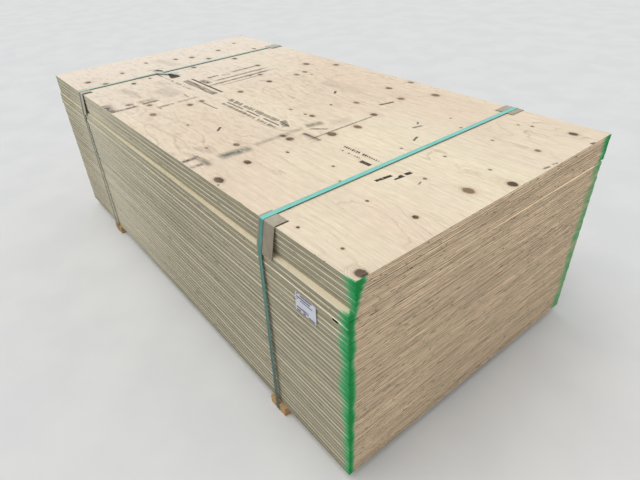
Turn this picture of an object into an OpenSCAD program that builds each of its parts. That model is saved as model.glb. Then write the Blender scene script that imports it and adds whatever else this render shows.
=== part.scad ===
// A bound stack of plywood sheets: a thin upper pack set back on a tall lower pack,
// turned a little on it, two bearers under it, and two flat plastic straps that wrap
// the whole stack over bent edge guards. X runs along the sheets, Y across them, Z up from the floor.

/* [Sheets] */
// Length of every sheet
sheet_l = 2438; // [1800:1:3050]
// Width of every sheet
sheet_w = 1219; // [900:1:1525]
// Thickness of every sheet
sheet_t = 19; // [12:0.1:20]
// Gap that slight warping leaves between two sheets
sheet_gap = 0.5; // [0.3:0.1:0.8]
// Sheets in the lower pack
lower_count = 35; // [10:1:38]
// Sheets in the upper pack
upper_count = 5; // [3:1:8]

/* [How the sheets lie] */
// How far the upper pack's middle is set back from the lower one's
upper_inset = 12.5; // [8:0.5:30]
// Angle by which the upper pack is turned on the lower one, so that it is set back more at the near end
upper_turn = 0.32; // [0:0.02:0.4]
// How far the upper pack's middle lies along the length from the lower one's
upper_slide = -1; // [-3:0.5:3]
// Most that a sheet lies out of line along its length
slip_x = 0.6; // [0:0.1:2]
// Most that a sheet lies out of line across its width
slip_y = 0.6; // [0:0.1:1.5]
// Sheets above the one that stands proud of the lower pack's front
sheets_over_proud = 2; // [1:1:6]
// How far that sheet stands proud
proud_by = 2.5; // [0:0.1:4]

/* [Core void] */
// Width of the open void in the front edge of the proud sheet
void_w = 20; // [8:1:40]
// Height of the void, one inner ply high
void_h = 6; // [3:0.5:9]
// How deep the void runs in from the edge
void_d = 24; // [10:1:60]
// Distance of the void's middle from the end of the sheet
void_from_end = 52; // [30:1:200]

/* [Bearers] */
// Width of a bearer
bearer_w = 89; // [70:1:140]
// Height of a bearer
bearer_h = 38; // [30:1:90]
// How far a bearer sticks out in front of the lower pack
bearer_out = 12; // [4:1:18]
// How far a bearer reaches past the back of the lower pack
bearer_past = 9; // [2:1:16]
// Depth of the shallow groove that the strap runs in under a bearer
groove_d = 1.8; // [1.7:0.1:4]

/* [Straps] */
// Width of a strap
strap_w = 19; // [12:0.5:25]
// Thickness of a strap
strap_t = 0.9; // [0.5:0.1:1]
// Distance of the near strap's middle from the near end of the lower pack
near_strap_in = 375; // [250:1:600]
// Distance of the far strap's middle from the far end of the lower pack
far_strap_in = 438; // [250:1:600]
// Length of the lapped joint on top of the far strap
lap_l = 110; // [60:1:200]
// Distance of the lapped joint's middle from the back of the upper pack
lap_in = 879; // [500:1:950]
// Length of the loose tail past its fold
tail_l = 120; // [40:1:150]
// Angle by which the fold turns the loose tail away from the strap
tail_turn = 58; // [40:1:110]
// Radius in which the loose tail springs up
tail_r = 800; // [300:10:1500]

/* [Edge guards] */
// Width of an edge guard along the stack
guard_w = 78; // [50:1:120]
// Thickness of an edge guard
guard_t = 3; // [2:0.1:4]
// Outer radius of an edge guard's bend
guard_bend = 6; // [4.5:0.1:8]
// Length of a front guard's leg on top of the stack
front_top_leg = 44; // [30:1:90]
// Length of a front guard's leg down the side
front_side_leg = 108; // [60:1:130]
// Length of each leg of a back guard
back_leg = 75; // [50:1:85]
// How far the near front guard lies from the middle of its strap
near_front_shift = 20; // [-25:1:25]
// How far the far front guard lies from the middle of its strap
far_front_shift = 10; // [-25:1:25]
// How far the back guards lie from the middle of their straps
back_shift = -5; // [-25:1:25]

/* [Label] */
// Width of the paper label
label_w = 93; // [60:1:150]
// Height of the paper label
label_h = 66; // [40:1:120]
// Thickness of the paper label
label_t = 0.4; // [0.3:0.1:0.6]
// Distance of the label's middle from the near end of the lower pack
label_in = 170; // [120:1:220]
// Depth of the label's middle under the top of the lower pack
label_down = 85; // [80:1:150]

/* [Hidden] */
// Gap at which a wrapped or laid piece rests on its seat
seat = 0.3;
// How far a cut runs past the faces that it opens
overrun = 2;

lower_names = [for (i = [1:lower_count]) str("lower_sheet_", i)];
upper_names = [for (i = [1:upper_count]) str("upper_sheet_", i)];

sheet_pitch = sheet_t + sheet_gap;
lower_h = lower_count * sheet_pitch - sheet_gap;
upper_h = upper_count * sheet_pitch - sheet_gap;
ledge_z = bearer_h + lower_h;
stack_z = ledge_z + sheet_gap + upper_h;
proud_index = lower_count - sheets_over_proud;

// The whole object's box is centred on the origin, across and along.
// Along X it is set by the ends of the two packs, with the corners of the turned one.
turned_half_l = sheet_l / 2 * cos(upper_turn) + sheet_w / 2 * sin(upper_turn);
near_reach = max(sheet_l / 2, turned_half_l + upper_slide);
far_reach = max(sheet_l / 2, turned_half_l - upper_slide);
lower_x = (far_reach - near_reach) / 2;
upper_x = lower_x + upper_slide;
near_end = lower_x + sheet_l / 2;
near_strap_x = near_end - near_strap_in;
far_strap_x = lower_x - sheet_l / 2 + far_strap_in;

// Across Y it is set by the strap round the front bearer ends and the near strap over its back guard.
// Half the upper pack's width, and its long edges' drift in Y, at a place along X
turned_half_w = sheet_w / 2 / cos(upper_turn);
function drift(x) = (x - upper_x) * tan(upper_turn);
front_reach = sheet_w / 2 + bearer_out + seat + strap_t;
back_reach = turned_half_w + upper_inset + drift(near_strap_x) + slip_y + seat + guard_t + seat + strap_t;
lower_y = (front_reach - back_reach) / 2;
upper_y = lower_y + upper_inset;

lower_front = lower_y - sheet_w / 2;
lower_back = lower_y + sheet_w / 2;
function upper_edge(x, side) = upper_y + side * turned_half_w + drift(x);
bearer_front = lower_front - bearer_out;
bearer_back = lower_back + bearer_past;

// Each sheet's own small misplacement, a wave that never repeats in step with the count.
function slip(i, most, turn, start) = most * sin(turn * i + start);
function sheet_slip(i) = [slip(i, slip_x, 137, 20), slip(i, slip_y, 101, 75)];
function lower_sheet_z(i) = bearer_h + (i - 1) * sheet_pitch;
function lower_sheet_front(i) =
    lower_front + sheet_slip(i).y - (i == proud_index ? proud_by : 0);
// The foremost sheet edge of the lower pack
foremost = min([for (i = [1:lower_count]) lower_sheet_front(i)]);

// A plain sheet with its middle at a place, its underside at a height, turned in its plane.
module sheet(middle, z, i, turn = 0) {
    translate([middle.x, middle.y, z])
        rotate([0, 0, turn])
            translate([sheet_slip(i).x - sheet_l / 2, sheet_slip(i).y - sheet_w / 2, 0])
                cube([sheet_l, sheet_w, sheet_t]);
}

module core_void(z) {
    translate([near_end - void_from_end - void_w / 2, lower_front - proud_by - slip_y - overrun,
               z + (sheet_t - void_h) / 2])
        cube([void_w, proud_by + 2 * slip_y + overrun + void_d, void_h]);
}

module lower_sheet(i) {
    z = lower_sheet_z(i);
    color([0.72, 0.65, 0.54])
        if (i == proud_index)
            difference() {
                sheet([lower_x, lower_y - proud_by], z, i);
                core_void(z);
            }
        else
            sheet([lower_x, lower_y], z, i);
}

module upper_sheet(i) {
    z = ledge_z + sheet_gap + (i - 1) * sheet_pitch;
    color([0.93, 0.87, 0.77])
        sheet([upper_x, upper_y], z, lower_count + i, upper_turn);
}

// A sawn bearer lying flat, with the strap's groove along the middle of its underside.
module bearer(x) {
    groove_w = strap_w + 2 * overrun;
    color([0.80, 0.62, 0.42])
        difference() {
            translate([x - bearer_w / 2, bearer_front, 0])
                cube([bearer_w, bearer_back - bearer_front, bearer_h]);
            translate([x - groove_w / 2, bearer_front - overrun, -overrun])
                cube([groove_w, bearer_back - bearer_front + 2 * overrun, groove_d + overrun]);
        }
}

// Across the stack at its strap, a guard is worked out from the edge that it covers:
// the front one (side -1) leans out from the upper pack's edge to the lower pack's,
// with room for the turn over its width, and the back one (side 1) hangs straight down.
top_normal = [0, 1];
function lean(x, side) =
    side < 0
    ? atan2(upper_edge(x, side) - lower_front + slip_y + guard_w * tan(upper_turn), upper_h + sheet_gap)
    : 0;
function leg_normal(x, side) = [side * cos(lean(x, side)), sin(lean(x, side))];
function leg_way(x, side) = [side * sin(lean(x, side)), -cos(lean(x, side))];
function covered_edge(x, side) = [upper_edge(x, side) + side * slip_y, stack_z];

// The point that lies at one distance outside both faces of the covered edge.
function outside_edge(x, side, away) =
    covered_edge(x, side)
    + (top_normal + leg_normal(x, side)) * away / (1 + top_normal * leg_normal(x, side));
function top_leg(side) = side < 0 ? front_top_leg : back_leg;
function side_leg(side) = side < 0 ? front_side_leg : back_leg;

bend_steps = 8;
function bend_arc(x, side) =
    let (middle = outside_edge(x, side, seat + guard_t - guard_bend),
         turn = 90 - lean(x, side))
    [for (k = [0:bend_steps])
        let (a = 90 - turn * k / bend_steps)
        middle + guard_bend * [side * cos(a), sin(a)]];

function guard_foot(x, side, away) =
    outside_edge(x, side, seat) + side_leg(side) * leg_way(x, side) + away * leg_normal(x, side);

// A guard lies along the upper pack's edge, so it is turned with that pack.
module guard(strap_x, side, shift) {
    inner = outside_edge(strap_x, side, seat);
    tip = inner - [side * top_leg(side), 0];
    edge_y = covered_edge(strap_x, side).x;
    color([0.50, 0.46, 0.40])
        translate([strap_x, edge_y, 0])
            rotate([0, 0, upper_turn])
                translate([shift - guard_w / 2, -edge_y, 0])
                    rotate([90, 0, 90])
                        linear_extrude(height = guard_w)
                            polygon(concat(
                                [tip, tip + guard_t * top_normal],
                                bend_arc(strap_x, side),
                                [guard_foot(strap_x, side, guard_t), guard_foot(strap_x, side, 0), inner]
                            ));
}

// A taut strap follows the convex outline of what it wraps. Each corner is [y, z, radius].
function bend_corner(x, side) =
    concat(outside_edge(x, side, seat + guard_t - guard_bend), guard_bend + seat);
function foot_corner(x, side) = concat(guard_foot(x, side, guard_t), seat);
function wrapped_corners(x) = [
    [bearer_front, groove_d, seat],
    [bearer_back, groove_d, seat],
    [bearer_front, bearer_h, seat],
    [bearer_back, bearer_h, seat],
    [foremost, lower_sheet_z(proud_index), seat],
    [foremost, lower_sheet_z(proud_index) + sheet_t, seat],
    [lower_front - slip_y, bearer_h, seat],
    [lower_back + slip_y, bearer_h, seat],
    foot_corner(x, -1), bend_corner(x, -1),
    foot_corner(x, 1), bend_corner(x, 1)
];

module strap_outline(x, thickness) {
    hull()
        for (c = wrapped_corners(x))
            translate([c.x, c.y])
                circle(r = c.z + thickness, $fn = 32);
}

module strap_loop(x) {
    translate([x - strap_w / 2, 0, 0])
        rotate([90, 0, 90])
            linear_extrude(height = strap_w)
                difference() {
                    strap_outline(x, strap_t);
                    strap_outline(x, 0);
                }
}

// On the far strap the two ends lap on top of the stack. The upper end is left long:
// past the joint it is folded aside along a crease, and its tail springs up off the sheet.
strap_top = stack_z + seat + guard_t + seat + strap_t;
half_w = strap_w / 2;
// How far along the strap the slanting crease runs to each side of its middle
fold_run = half_w / tan(tail_turn / 2);
crease_foot = [-half_w, -fold_run];
crease_top = [half_w, fold_run];
tail_way = [sin(tail_turn), cos(tail_turn)];
tail_corner = fold_run * tail_way + half_w * [cos(tail_turn), -sin(tail_turn)];

module lapped_end(x) {
    lap_y = upper_edge(x, 1) - lap_in;
    translate([x - half_w, lap_y - lap_l / 2, strap_top - strap_t / 2])
        cube([strap_w, lap_l, strap_t * 3 / 2]);
    translate([x, lap_y + lap_l / 2 + fold_run, strap_top - strap_t / 2]) {
        folded_half(crease_top, crease_foot, [half_w, -fold_run], [0, -strap_t]);
        translate([0, 0, strap_t])
            folded_half(crease_foot, crease_top, tail_corner, strap_t * tail_way);
        translate([0, 0, strap_t * 7 / 4])
            rotate([0, 0, -tail_turn])
                translate([-half_w, fold_run, tail_r])
                    rotate([0, 90, 0])
                        sprung_tail();
    }
}

// One half of the fold: the triangle from the crease's tip to its base and the strap's corner
// beside the base, run on a little way into the strap.
module folded_half(tip, base, corner, into) {
    linear_extrude(height = strap_t * 3 / 2)
        polygon([tip, base, base + into, corner + into, corner]);
}

// The tail past the fold: a slice of a thin ring as wide as the strap.
module sprung_tail() {
    rotate_extrude(angle = tail_l / tail_r * 180 / PI, $fn = 96)
        translate([tail_r - strap_t / 2, 0])
            square([strap_t, strap_w]);
}

module near_bearer() bearer(near_strap_x);
module far_bearer() bearer(far_strap_x);

module near_strap()
    color([0.10, 0.45, 0.42]) strap_loop(near_strap_x);

module far_strap()
    color([0.10, 0.45, 0.42]) {
        strap_loop(far_strap_x);
        lapped_end(far_strap_x);
    }

module near_front_guard() guard(near_strap_x, -1, near_front_shift);
module near_back_guard() guard(near_strap_x, 1, back_shift);
module far_front_guard() guard(far_strap_x, -1, far_front_shift);
module far_back_guard() guard(far_strap_x, 1, back_shift);

module label() {
    face = foremost - seat;
    color([0.93, 0.93, 0.95])
        translate([near_end - label_in - label_w / 2, face - label_t, ledge_z - label_down - label_h / 2])
            cube([label_w, label_t, label_h]);
}

for (i = [1:lower_count])
    lower_sheet(i);
for (i = [1:upper_count])
    upper_sheet(i);
near_bearer();
far_bearer();
near_strap();
far_strap();
near_front_guard();
near_back_guard();
far_front_guard();
far_back_guard();
label();
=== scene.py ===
"""The looks of a bound stack of plywood sheets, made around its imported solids.

Every sheet, strap, guard, bearer and the label is a surface worked out with numpy in the frame's own
metres: X along the sheets, Y across them, Z up from the floor.
"""

import math

import bpy
import numpy as np
from bpy.props import FloatProperty, FloatVectorProperty, IntProperty, PointerProperty
from mathutils import Matrix, Vector, geometry


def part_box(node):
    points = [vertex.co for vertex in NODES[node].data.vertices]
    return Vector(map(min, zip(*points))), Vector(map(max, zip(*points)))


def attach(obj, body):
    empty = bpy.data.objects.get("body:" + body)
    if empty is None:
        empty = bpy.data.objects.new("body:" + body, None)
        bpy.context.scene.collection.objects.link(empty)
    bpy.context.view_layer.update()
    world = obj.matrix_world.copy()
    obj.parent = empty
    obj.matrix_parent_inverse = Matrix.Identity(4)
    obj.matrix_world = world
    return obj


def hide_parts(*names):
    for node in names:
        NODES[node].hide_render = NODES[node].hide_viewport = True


bl_info = {
    "name": "Bound Plywood Stack",
    "version": (1, 0, 0),
    "blender": (4, 5, 0),
    "location": "3D View > Sidebar > Plywood",
    "description": "Dresses a strapped stack of plywood sheets with sawn edges, paint, straps and guards",
    "category": "Object",
}

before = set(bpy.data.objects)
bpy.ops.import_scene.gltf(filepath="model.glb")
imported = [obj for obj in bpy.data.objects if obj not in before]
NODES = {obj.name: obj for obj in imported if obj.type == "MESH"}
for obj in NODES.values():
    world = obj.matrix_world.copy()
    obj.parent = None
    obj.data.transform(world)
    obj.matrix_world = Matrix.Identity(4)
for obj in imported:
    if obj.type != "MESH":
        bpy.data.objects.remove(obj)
MM = 0.001
LOWER_COUNT = sum(name.startswith("lower_sheet_") for name in NODES)
UPPER_COUNT = sum(name.startswith("upper_sheet_") for name in NODES)
TOP_SHEET = f"upper_sheet_{UPPER_COUNT}"
LEDGE_SHEET = f"lower_sheet_{LOWER_COUNT}"
VOID_SHEET = f"lower_sheet_{LOWER_COUNT - 2}"


def turned(points, turn):
    """Points turned about the upright axis through the middle, counter-clockwise from above."""
    cos, sin = math.cos(turn), math.sin(turn)
    return np.column_stack([points[:, 0] * cos - points[:, 1] * sin, points[:, 0] * sin + points[:, 1] * cos,
                            points[:, 2]])


def solid_points(node, turn=0.0):
    """The points of a node's solid, with the stack turned back by an angle."""
    mesh = NODES[node].data
    places = np.zeros(len(mesh.vertices) * 3)
    mesh.vertices.foreach_get("co", places)
    return turned(places.reshape(-1, 3), -turn)


def solid_box(node, turn=0.0):
    """The lowest and highest corner of a node's solid, with the stack turned back by an angle."""
    places = solid_points(node, turn)
    return places.min(0), places.max(0)


def pack_turn():
    """How far the upper pack is turned: a turned sheet's box is L cos + W sin long and L sin + W cos wide."""
    l, w = np.ptp(solid_points("lower_sheet_1"), axis=0)[:2]
    long_side, short_side = np.ptp(solid_points(TOP_SHEET), axis=0)[:2]
    return math.asin((l * short_side - w * long_side) / (l * l - w * w))


UPPER_TURN = pack_turn()
SHEET_HALF = float(np.ptp(solid_points("lower_sheet_1"), axis=0)[2]) / 2
LEDGE_HEIGHT = 0.72
SEAT = 0.3 * MM

# A ply's thickness, an outer one's, and the depth of each glue line below a sheet's top.
PLY, OUTER_PLY = 2.8 * MM, 2.5 * MM
LEVELS = np.array([2.5, 5.3, 8.1, 10.9, 13.7, 16.5]) * MM
GLUE_HALF = 0.12 * MM

# The core void is two plies high, so its sheet has glue lines of its own.
VOID_LEVELS = np.array([2.5, 4.4, 10.4, 11.6, 13.7, 16.5]) * MM
VOID_WIDTH, VOID_DEPTH, VOID_FROM_END = 22 * MM, 24 * MM, 47 * MM

# The hole in the top face beside the near front corner, from the face's middle.
HOLE_AT = np.array([1216, -575]) * MM

# Width of the strip inside a covered face's rim, and the paint value of a place that the spray never met.
RIM = 12 * MM
UNPAINTED = -4.0


def tone(red, green, blue):
    """A colour given as screen values from 0 to 255, as the linear light that a shader takes."""
    shares = np.array([red, green, blue]) / 255
    return (*np.where(shares > 0.04045, ((shares + 0.055) / 1.055) ** 2.4, shares / 12.92).tolist(), 1.0)


def length(name, description, default, **more):
    return FloatProperty(name=name, description=description, default=default, unit="LENGTH",
                         precision=4, min=0, **more)


def colour(name, description, default):
    return FloatVectorProperty(name=name, description=description, default=tone(*default), size=4,
                               subtype="COLOR", min=0, max=1)


class SheetSettings(bpy.types.PropertyGroup):
    """Sizes and colours of the plywood sheets."""

    arris: length("Arris", "Width of the worn arris round each face", 0.5 * MM)
    cross_recess: length("Cross-ply recess", "How far sawn end grain lies behind the long grain", 0.3 * MM)
    wander: length("Ply wander", "How far the saw and the weather make one ply wander", 0.15 * MM)
    chip_depth: length("Chip depth", "Deepest chip out of a face veneer", 2.2 * MM)
    near_step: length("Near step", "Distance between points of an edge at the near front corner", 6 * MM)
    far_step: length("Far step", "Distance between points of an edge at its far end", 19 * MM)
    seed: IntProperty(name="Seed", description="Start of the random chips and tones", default=11, min=0)
    face: colour("Face", "Sanded face veneer between its grain lines", (239, 222, 197))
    late_wood: colour("Late wood", "Grain lines of the face veneer", (168, 140, 110))
    knot: colour("Knot", "Heart of a knot", (66, 50, 35))
    ledge: colour("Ledge", "Face veneer of the sheets that were covered", (222, 213, 180))
    face_edge: colour("Face veneer's edge", "Long edge of the two outer plies", (229, 224, 203))
    long_grain: colour("Long grain", "Long edge of an inner ply whose grain runs along it", (182, 174, 149))
    end_grain: colour("End grain", "Long edge of a ply that shows its end grain", (148, 140, 115))
    end_pale: colour("Pale end ply", "End of a ply whose grain runs along that end", (232, 208, 176))
    end_dark: colour("Dark end ply", "End of a ply that shows its end grain", (198, 172, 141))
    glue: colour("Glue line", "Dark line between two plies", (92, 80, 62))
    # This colour also paints the shadows beside the front guards
    ink_dirt_and_shadow: colour("Ink", "Worn stamp ink and rubbed dirt", (48, 42, 37))


class PaintSettings(bpy.types.PropertyGroup):
    """The sprayed paint on the corners of the stack."""

    paint: colour("Paint", "Thin paint", (66, 170, 108))
    deep_paint: colour("Deep paint", "Paint where the spray was aimed", (0, 140, 68))
    front_reach: length("Front reach", "How far the paint runs along the front from the near corner", 58 * MM)
    front_feather: length("Front feather", "Width in which it fades out on the front", 42 * MM)
    end_reach: length("End reach", "How far the paint runs along the near end from its front corner", 30 * MM)
    end_feather: length("End feather", "Width in which it fades out on the near end", 14 * MM)
    back_reach: length("Back reach", "How far the paint runs from the back corners", 50 * MM)


class StrapSettings(bpy.types.PropertyGroup):
    """Sizes and colours of the two straps, the lapped joint and its tail."""

    width: length("Width", "Width of a strap", 19 * MM)
    thickness: length("Thickness", "Thickness of a strap", 0.9 * MM)
    lap: length("Lap", "Length of the lapped joint on the far strap", 110 * MM)
    tail: length("Tail", "Length of the loose tail past its fold", 120 * MM)
    tail_radius: length("Tail radius", "Radius in which the tail springs up", 0.8)
    tail_turn: FloatProperty(name="Tail turn", description="Turn of the fold away from the strap",
                             default=math.radians(58), subtype="ANGLE")


class GuardSettings(bpy.types.PropertyGroup):
    """Sizes and colours of the bent edge guards."""

    thickness: length("Thickness", "Thickness of a guard", 3 * MM)
    bend: length("Bend", "Outer radius of a guard's bend", 6 * MM)
    front_top: length("Front top leg", "Leg of a front guard on top of the stack", 44 * MM)
    front_side: length("Front side leg", "Leg of a front guard down the side", 108 * MM)
    back_leg: length("Back leg", "Each leg of a back guard", 75 * MM)
    board: colour("Board", "Dull pressed board", (166, 157, 138))
    worn: colour("Worn board", "Board where it is rubbed", (194, 186, 168))


class BearerSettings(bpy.types.PropertyGroup):
    """Colours of the sawn bearers."""

    edge: length("Edge", "Rounding of a bearer's long edges", 2 * MM)
    wood: colour("Wood", "Sawn face of a bearer", (203, 166, 117))
    grain: colour("Grain", "Dark grain of a bearer", (160, 124, 84))


class LabelSettings(bpy.types.PropertyGroup):
    """Colours of the plain paper label."""

    curl: length("Curl", "How far the label's lower corners stand off", 1.2 * MM)
    paper: colour("Paper", "Paper of the label", (214, 222, 226))
    bars: colour("Bars", "Generic worn bars", (66, 62, 84))


class StageSettings(bpy.types.PropertyGroup):
    """The floor, the light and the camera."""

    floor: colour("Floor", "Plain pale floor", (226, 226, 224))
    sky: FloatProperty(name="Sky", description="Strength of the even light all round", default=0.62, min=0)
    lamp: FloatProperty(name="Lamp", description="Strength of the soft light from above", default=1.25, min=0)
    lens: FloatProperty(name="Lens", description="Focal length in millimetres", default=27.74, min=1)


SETTINGS = {
    "plywood_sheets": SheetSettings, "plywood_paint": PaintSettings, "plywood_straps": StrapSettings,
    "plywood_guards": GuardSettings, "plywood_bearers": BearerSettings, "plywood_label": LabelSettings,
    "plywood_stage": StageSettings,
}


# Meshes


def mesh_piece(name, points, quads, caps=(), nodes=(), materials=(), smooth=False):
    """Puts points, four-sided faces and many-sided caps into a mesh that rides on the stack.

    Corners are all the faces' point numbers in one row, and each face starts where the last one ends.
    """
    corners = np.concatenate([np.asarray(quads).ravel(), *[np.asarray(c) for c in caps]]).astype(np.int32)
    sizes = np.concatenate([np.full(len(quads), 4), [len(c) for c in caps]]).astype(np.int32)
    mesh = bpy.data.meshes.new(name)
    mesh.vertices.add(len(points))
    mesh.vertices.foreach_set("co", np.asarray(points, np.float32).ravel())
    mesh.loops.add(len(corners))
    mesh.loops.foreach_set("vertex_index", corners)
    mesh.polygons.add(len(sizes))
    mesh.polygons.foreach_set("loop_start", np.concatenate([[0], np.cumsum(sizes)[:-1]]).astype(np.int32))
    mesh.polygons.foreach_set("use_smooth", np.full(len(sizes), smooth))
    mesh.update(calc_edges=True)
    if mesh.validate():
        raise RuntimeError(f"{name} has faces that can't stand")
    for material in materials:
        mesh.materials.append(material)
    piece = bpy.data.objects.new(name, mesh)
    bpy.context.scene.collection.objects.link(piece)
    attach(piece, "root")
    if nodes:
        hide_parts(*nodes)
    return piece


def put_uv(piece, name, values):
    """Gives every face corner its place on a flat map."""
    layer = piece.data.uv_layers.new(name=name)
    layer.data.foreach_set("uv", np.asarray(values, np.float32).ravel())


def put_value(piece, name, values):
    """Gives every point one number."""
    layer = piece.data.attributes.new(name, "FLOAT", "POINT")
    layer.data.foreach_set("value", np.asarray(values, np.float32).ravel())


def grid_quads(rows, columns, looped=False):
    """Faces between neighbouring rows of a grid whose columns close in a ring; rows can close in one too."""
    index = np.arange(rows * columns).reshape(rows, columns)
    if looped:
        index = np.vstack([index, index[:1]])
    after = np.roll(index, -1, axis=1)
    return np.stack([index[:-1], index[1:], after[1:], after[:-1]], axis=-1).reshape(-1, 4)


def end_caps(rows, columns):
    """The first and the last row of such a grid, each as one face that looks outwards."""
    last = (rows - 1) * columns
    return [np.arange(columns), np.arange(last, last + columns)[::-1]]


def cells(index):
    """The four-sided faces of an open grid, from the numbers of its points."""
    return np.stack([index[:-1, :-1], index[1:, :-1], index[1:, 1:], index[:-1, 1:]], -1).reshape(-1, 4)


def run_round(path):
    """Metres along a path at each of its points, and once more on the way back to the first."""
    step = np.linalg.norm(np.diff(np.vstack([path, path[:1]]), axis=0), axis=1)
    return np.concatenate([[0], np.cumsum(step)])


def faced_out(quads, caps, points, normal, section):
    """Turns all faces round, and says so, if one on the outer side halfway along looks inwards."""
    row = len(quads) // section // 2
    a, b, c, d = points[quads[row * section + section // 8]]
    if np.cross(c - a, d - b) @ normal[row] < 0:
        return quads[:, ::-1], [cap[::-1] for cap in caps], True
    return quads, caps, False


def wavy(run, seed, reach):
    """A smooth line between -1 and 1: the mean of five sines of unrelated lengths near the reach."""
    random = np.random.default_rng(seed)
    turns = random.uniform(0.5, 2.2, 5) * 2 * math.pi / reach
    starts = random.uniform(0, 2 * math.pi, 5)
    return np.sin(np.asarray(run)[..., None] * turns + starts).mean(-1) * 1.6


# Materials


class Reading:
    """A number or colour that a shader works out; sums, products and comparisons of them are Math nodes."""

    def __init__(self, nodes, socket):
        self.nodes = nodes
        self.socket = socket

    def __add__(self, other):
        return self.nodes.math("ADD", self, other)

    def __radd__(self, other):
        return self.nodes.math("ADD", other, self)

    def __sub__(self, other):
        return self.nodes.math("SUBTRACT", self, other)

    def __rsub__(self, other):
        return self.nodes.math("SUBTRACT", other, self)

    def __mul__(self, other):
        return self.nodes.math("MULTIPLY", self, other)

    def __truediv__(self, other):
        return self.nodes.math("DIVIDE", self, other)

    def __pow__(self, other):
        return self.nodes.math("POWER", self, other)

    def __mod__(self, other):
        return self.nodes.math("FLOORED_MODULO", self, other)

    def __gt__(self, other):
        return self.nodes.math("GREATER_THAN", self, other)

    def __lt__(self, other):
        return self.nodes.math("LESS_THAN", self, other)

    def __abs__(self):
        return self.nodes.math("ABSOLUTE", self)


class Nodes:
    """A short way to add nodes: a plain value is set on an input, a reading is linked to it."""

    def __init__(self, tree):
        self.tree = tree

    def put(self, socket, value):
        if isinstance(value, Reading):
            self.tree.links.new(value.socket, socket)
        else:
            socket.default_value = value

    def made(self, kind, inputs=(), **settings):
        """A new node, whose inputs are given in order, or by their name or number."""
        node = self.tree.nodes.new("ShaderNode" + kind)
        for name, value in settings.items():
            setattr(node, name, value)
        for key, value in (inputs.items() if isinstance(inputs, dict) else enumerate(inputs)):
            self.put(node.inputs[key], value)
        return node

    def node(self, kind, inputs=(), output=0, **settings):
        """One output of a new node, by its number or name."""
        return Reading(self, self.made(kind, inputs, **settings).outputs[output])

    def math(self, operation, *values):
        return self.node("Math", values, operation=operation)

    def floor(self, value):
        return self.math("FLOOR", value)

    def fract(self, value):
        return self.math("FRACT", value)

    def most(self, first, second):
        return self.math("MAXIMUM", first, second)

    def near(self, value, other, within):
        """1 where two numbers lie within a distance of each other, or else 0."""
        return self.math("COMPARE", value, other, within)

    def scaled(self, value, by, plus):
        """A number times another, plus a third."""
        return self.math("MULTIPLY_ADD", value, by, plus)

    def parts(self, vector):
        return [Reading(self, output) for output in self.made("SeparateXYZ", [vector]).outputs]

    def size_of(self, vector):
        return self.node("VectorMath", [vector], "Value", operation="LENGTH")

    def between(self, factor, first, second):
        """A number between two others, by a factor from 0 to 1."""
        return self.node("Mix", {0: factor, 2: first, 3: second}, data_type="FLOAT")

    def mix(self, factor, first, second, blend="MIX"):
        """A colour between two others, by a factor from 0 to 1."""
        return self.node("Mix", {0: factor, 6: first, 7: second}, 2, data_type="RGBA", blend_type=blend)

    def shaded(self, colour, shade):
        """The colour made lighter or darker by a number near 1."""
        return self.mix(1.0, colour, self.node("CombineColor", [shade, shade, shade]), "MULTIPLY")

    def join(self, x, y, z=0.0):
        return self.node("CombineXYZ", [x, y, z])

    def place(self):
        return self.node("TexCoord", (), "Object")

    def facing(self):
        return self.node("NewGeometry", (), "True Normal")

    def flat_map(self, name):
        return self.node("UVMap", uv_map=name)

    def value_of(self, name):
        return self.node("Attribute", (), "Fac", attribute_name=name, attribute_type="GEOMETRY")

    def chance(self, x, y):
        """A number from 0 to 1 that is drawn anew for every pair of numbers."""
        return self.node("TexWhiteNoise", {"Vector": self.join(x, y)})

    def noise(self, vector, scale=1.0, detail=2.0, rough=0.5):
        return self.node("TexNoise", {"Vector": vector, "Scale": scale, "Detail": detail, "Roughness": rough})

    def noise_at(self, x, y, z=0.0, detail=2.0, rough=0.5):
        return self.noise(self.join(x, y, z), 1.0, detail, rough)

    def stretched(self, scales, detail=2.0, rough=0.5):
        """Noise over the stack that is finer along some axes than along others."""
        place = self.node("VectorMath", [self.place(), scales], operation="MULTIPLY")
        return self.noise(place, 1.0, detail, rough)

    def spread(self, value, low, high, to_low=0.0, to_high=1.0, soft=False):
        """The value between low and high, spread over another range and held at its ends."""
        return self.node("MapRange", [value, low, high, to_low, to_high], clamp=True,
                         interpolation_type="SMOOTHSTEP" if soft else "LINEAR")


class Finish(Nodes):
    """A material of the stack, built on its own shader."""

    def __init__(self, name):
        self.material = bpy.data.materials.new(name)
        self.material.use_nodes = True
        super().__init__(self.material.node_tree)
        self.shader = self.tree.nodes["Principled BSDF"]

    def finish(self, colour, rough, sheen, bump=None, depth=0.0005, strength=0.5):
        """Colour, roughness and gloss of the surface, and the height that its light follows."""
        self.put(self.shader.inputs["Base Color"], colour)
        self.put(self.shader.inputs["Roughness"], rough)
        self.put(self.shader.inputs["Specular IOR Level"], sheen)
        if bump is not None:
            relief = self.node("Bump", {"Strength": strength, "Distance": depth, "Height": bump})
            self.put(self.shader.inputs["Normal"], relief)
        return self.material


def corner_paint(f, colour, settings, bare=None):
    """Spray paint over a colour: the points' own paint value, broken up by speckle, by slow drift up the
    stack and by streaks along the plies; some plies can stay barer than the rest."""
    speckle = f.noise(f.place(), 300.0, 3.0, 0.7)
    drift = f.stretched((22.0, 22.0, 13.0))
    streak = f.stretched((30.0, 30.0, 260.0))
    amount = f.value_of("paint") + f.scaled(speckle, 0.5, -0.25)
    amount = amount + f.scaled(drift, 0.8, -0.4)
    amount = amount + f.scaled(streak, 0.7, -0.35)
    if bare is not None:
        amount = amount - bare * 0.3
    cover = f.spread(amount, -0.05, 0.85, 0.0, 0.97, soft=True)
    depth = f.spread(amount, 0.55, 1.35, soft=True)
    green = f.mix(depth, settings.paint, settings.deep_paint)
    return f.mix(cover, colour, green)


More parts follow.
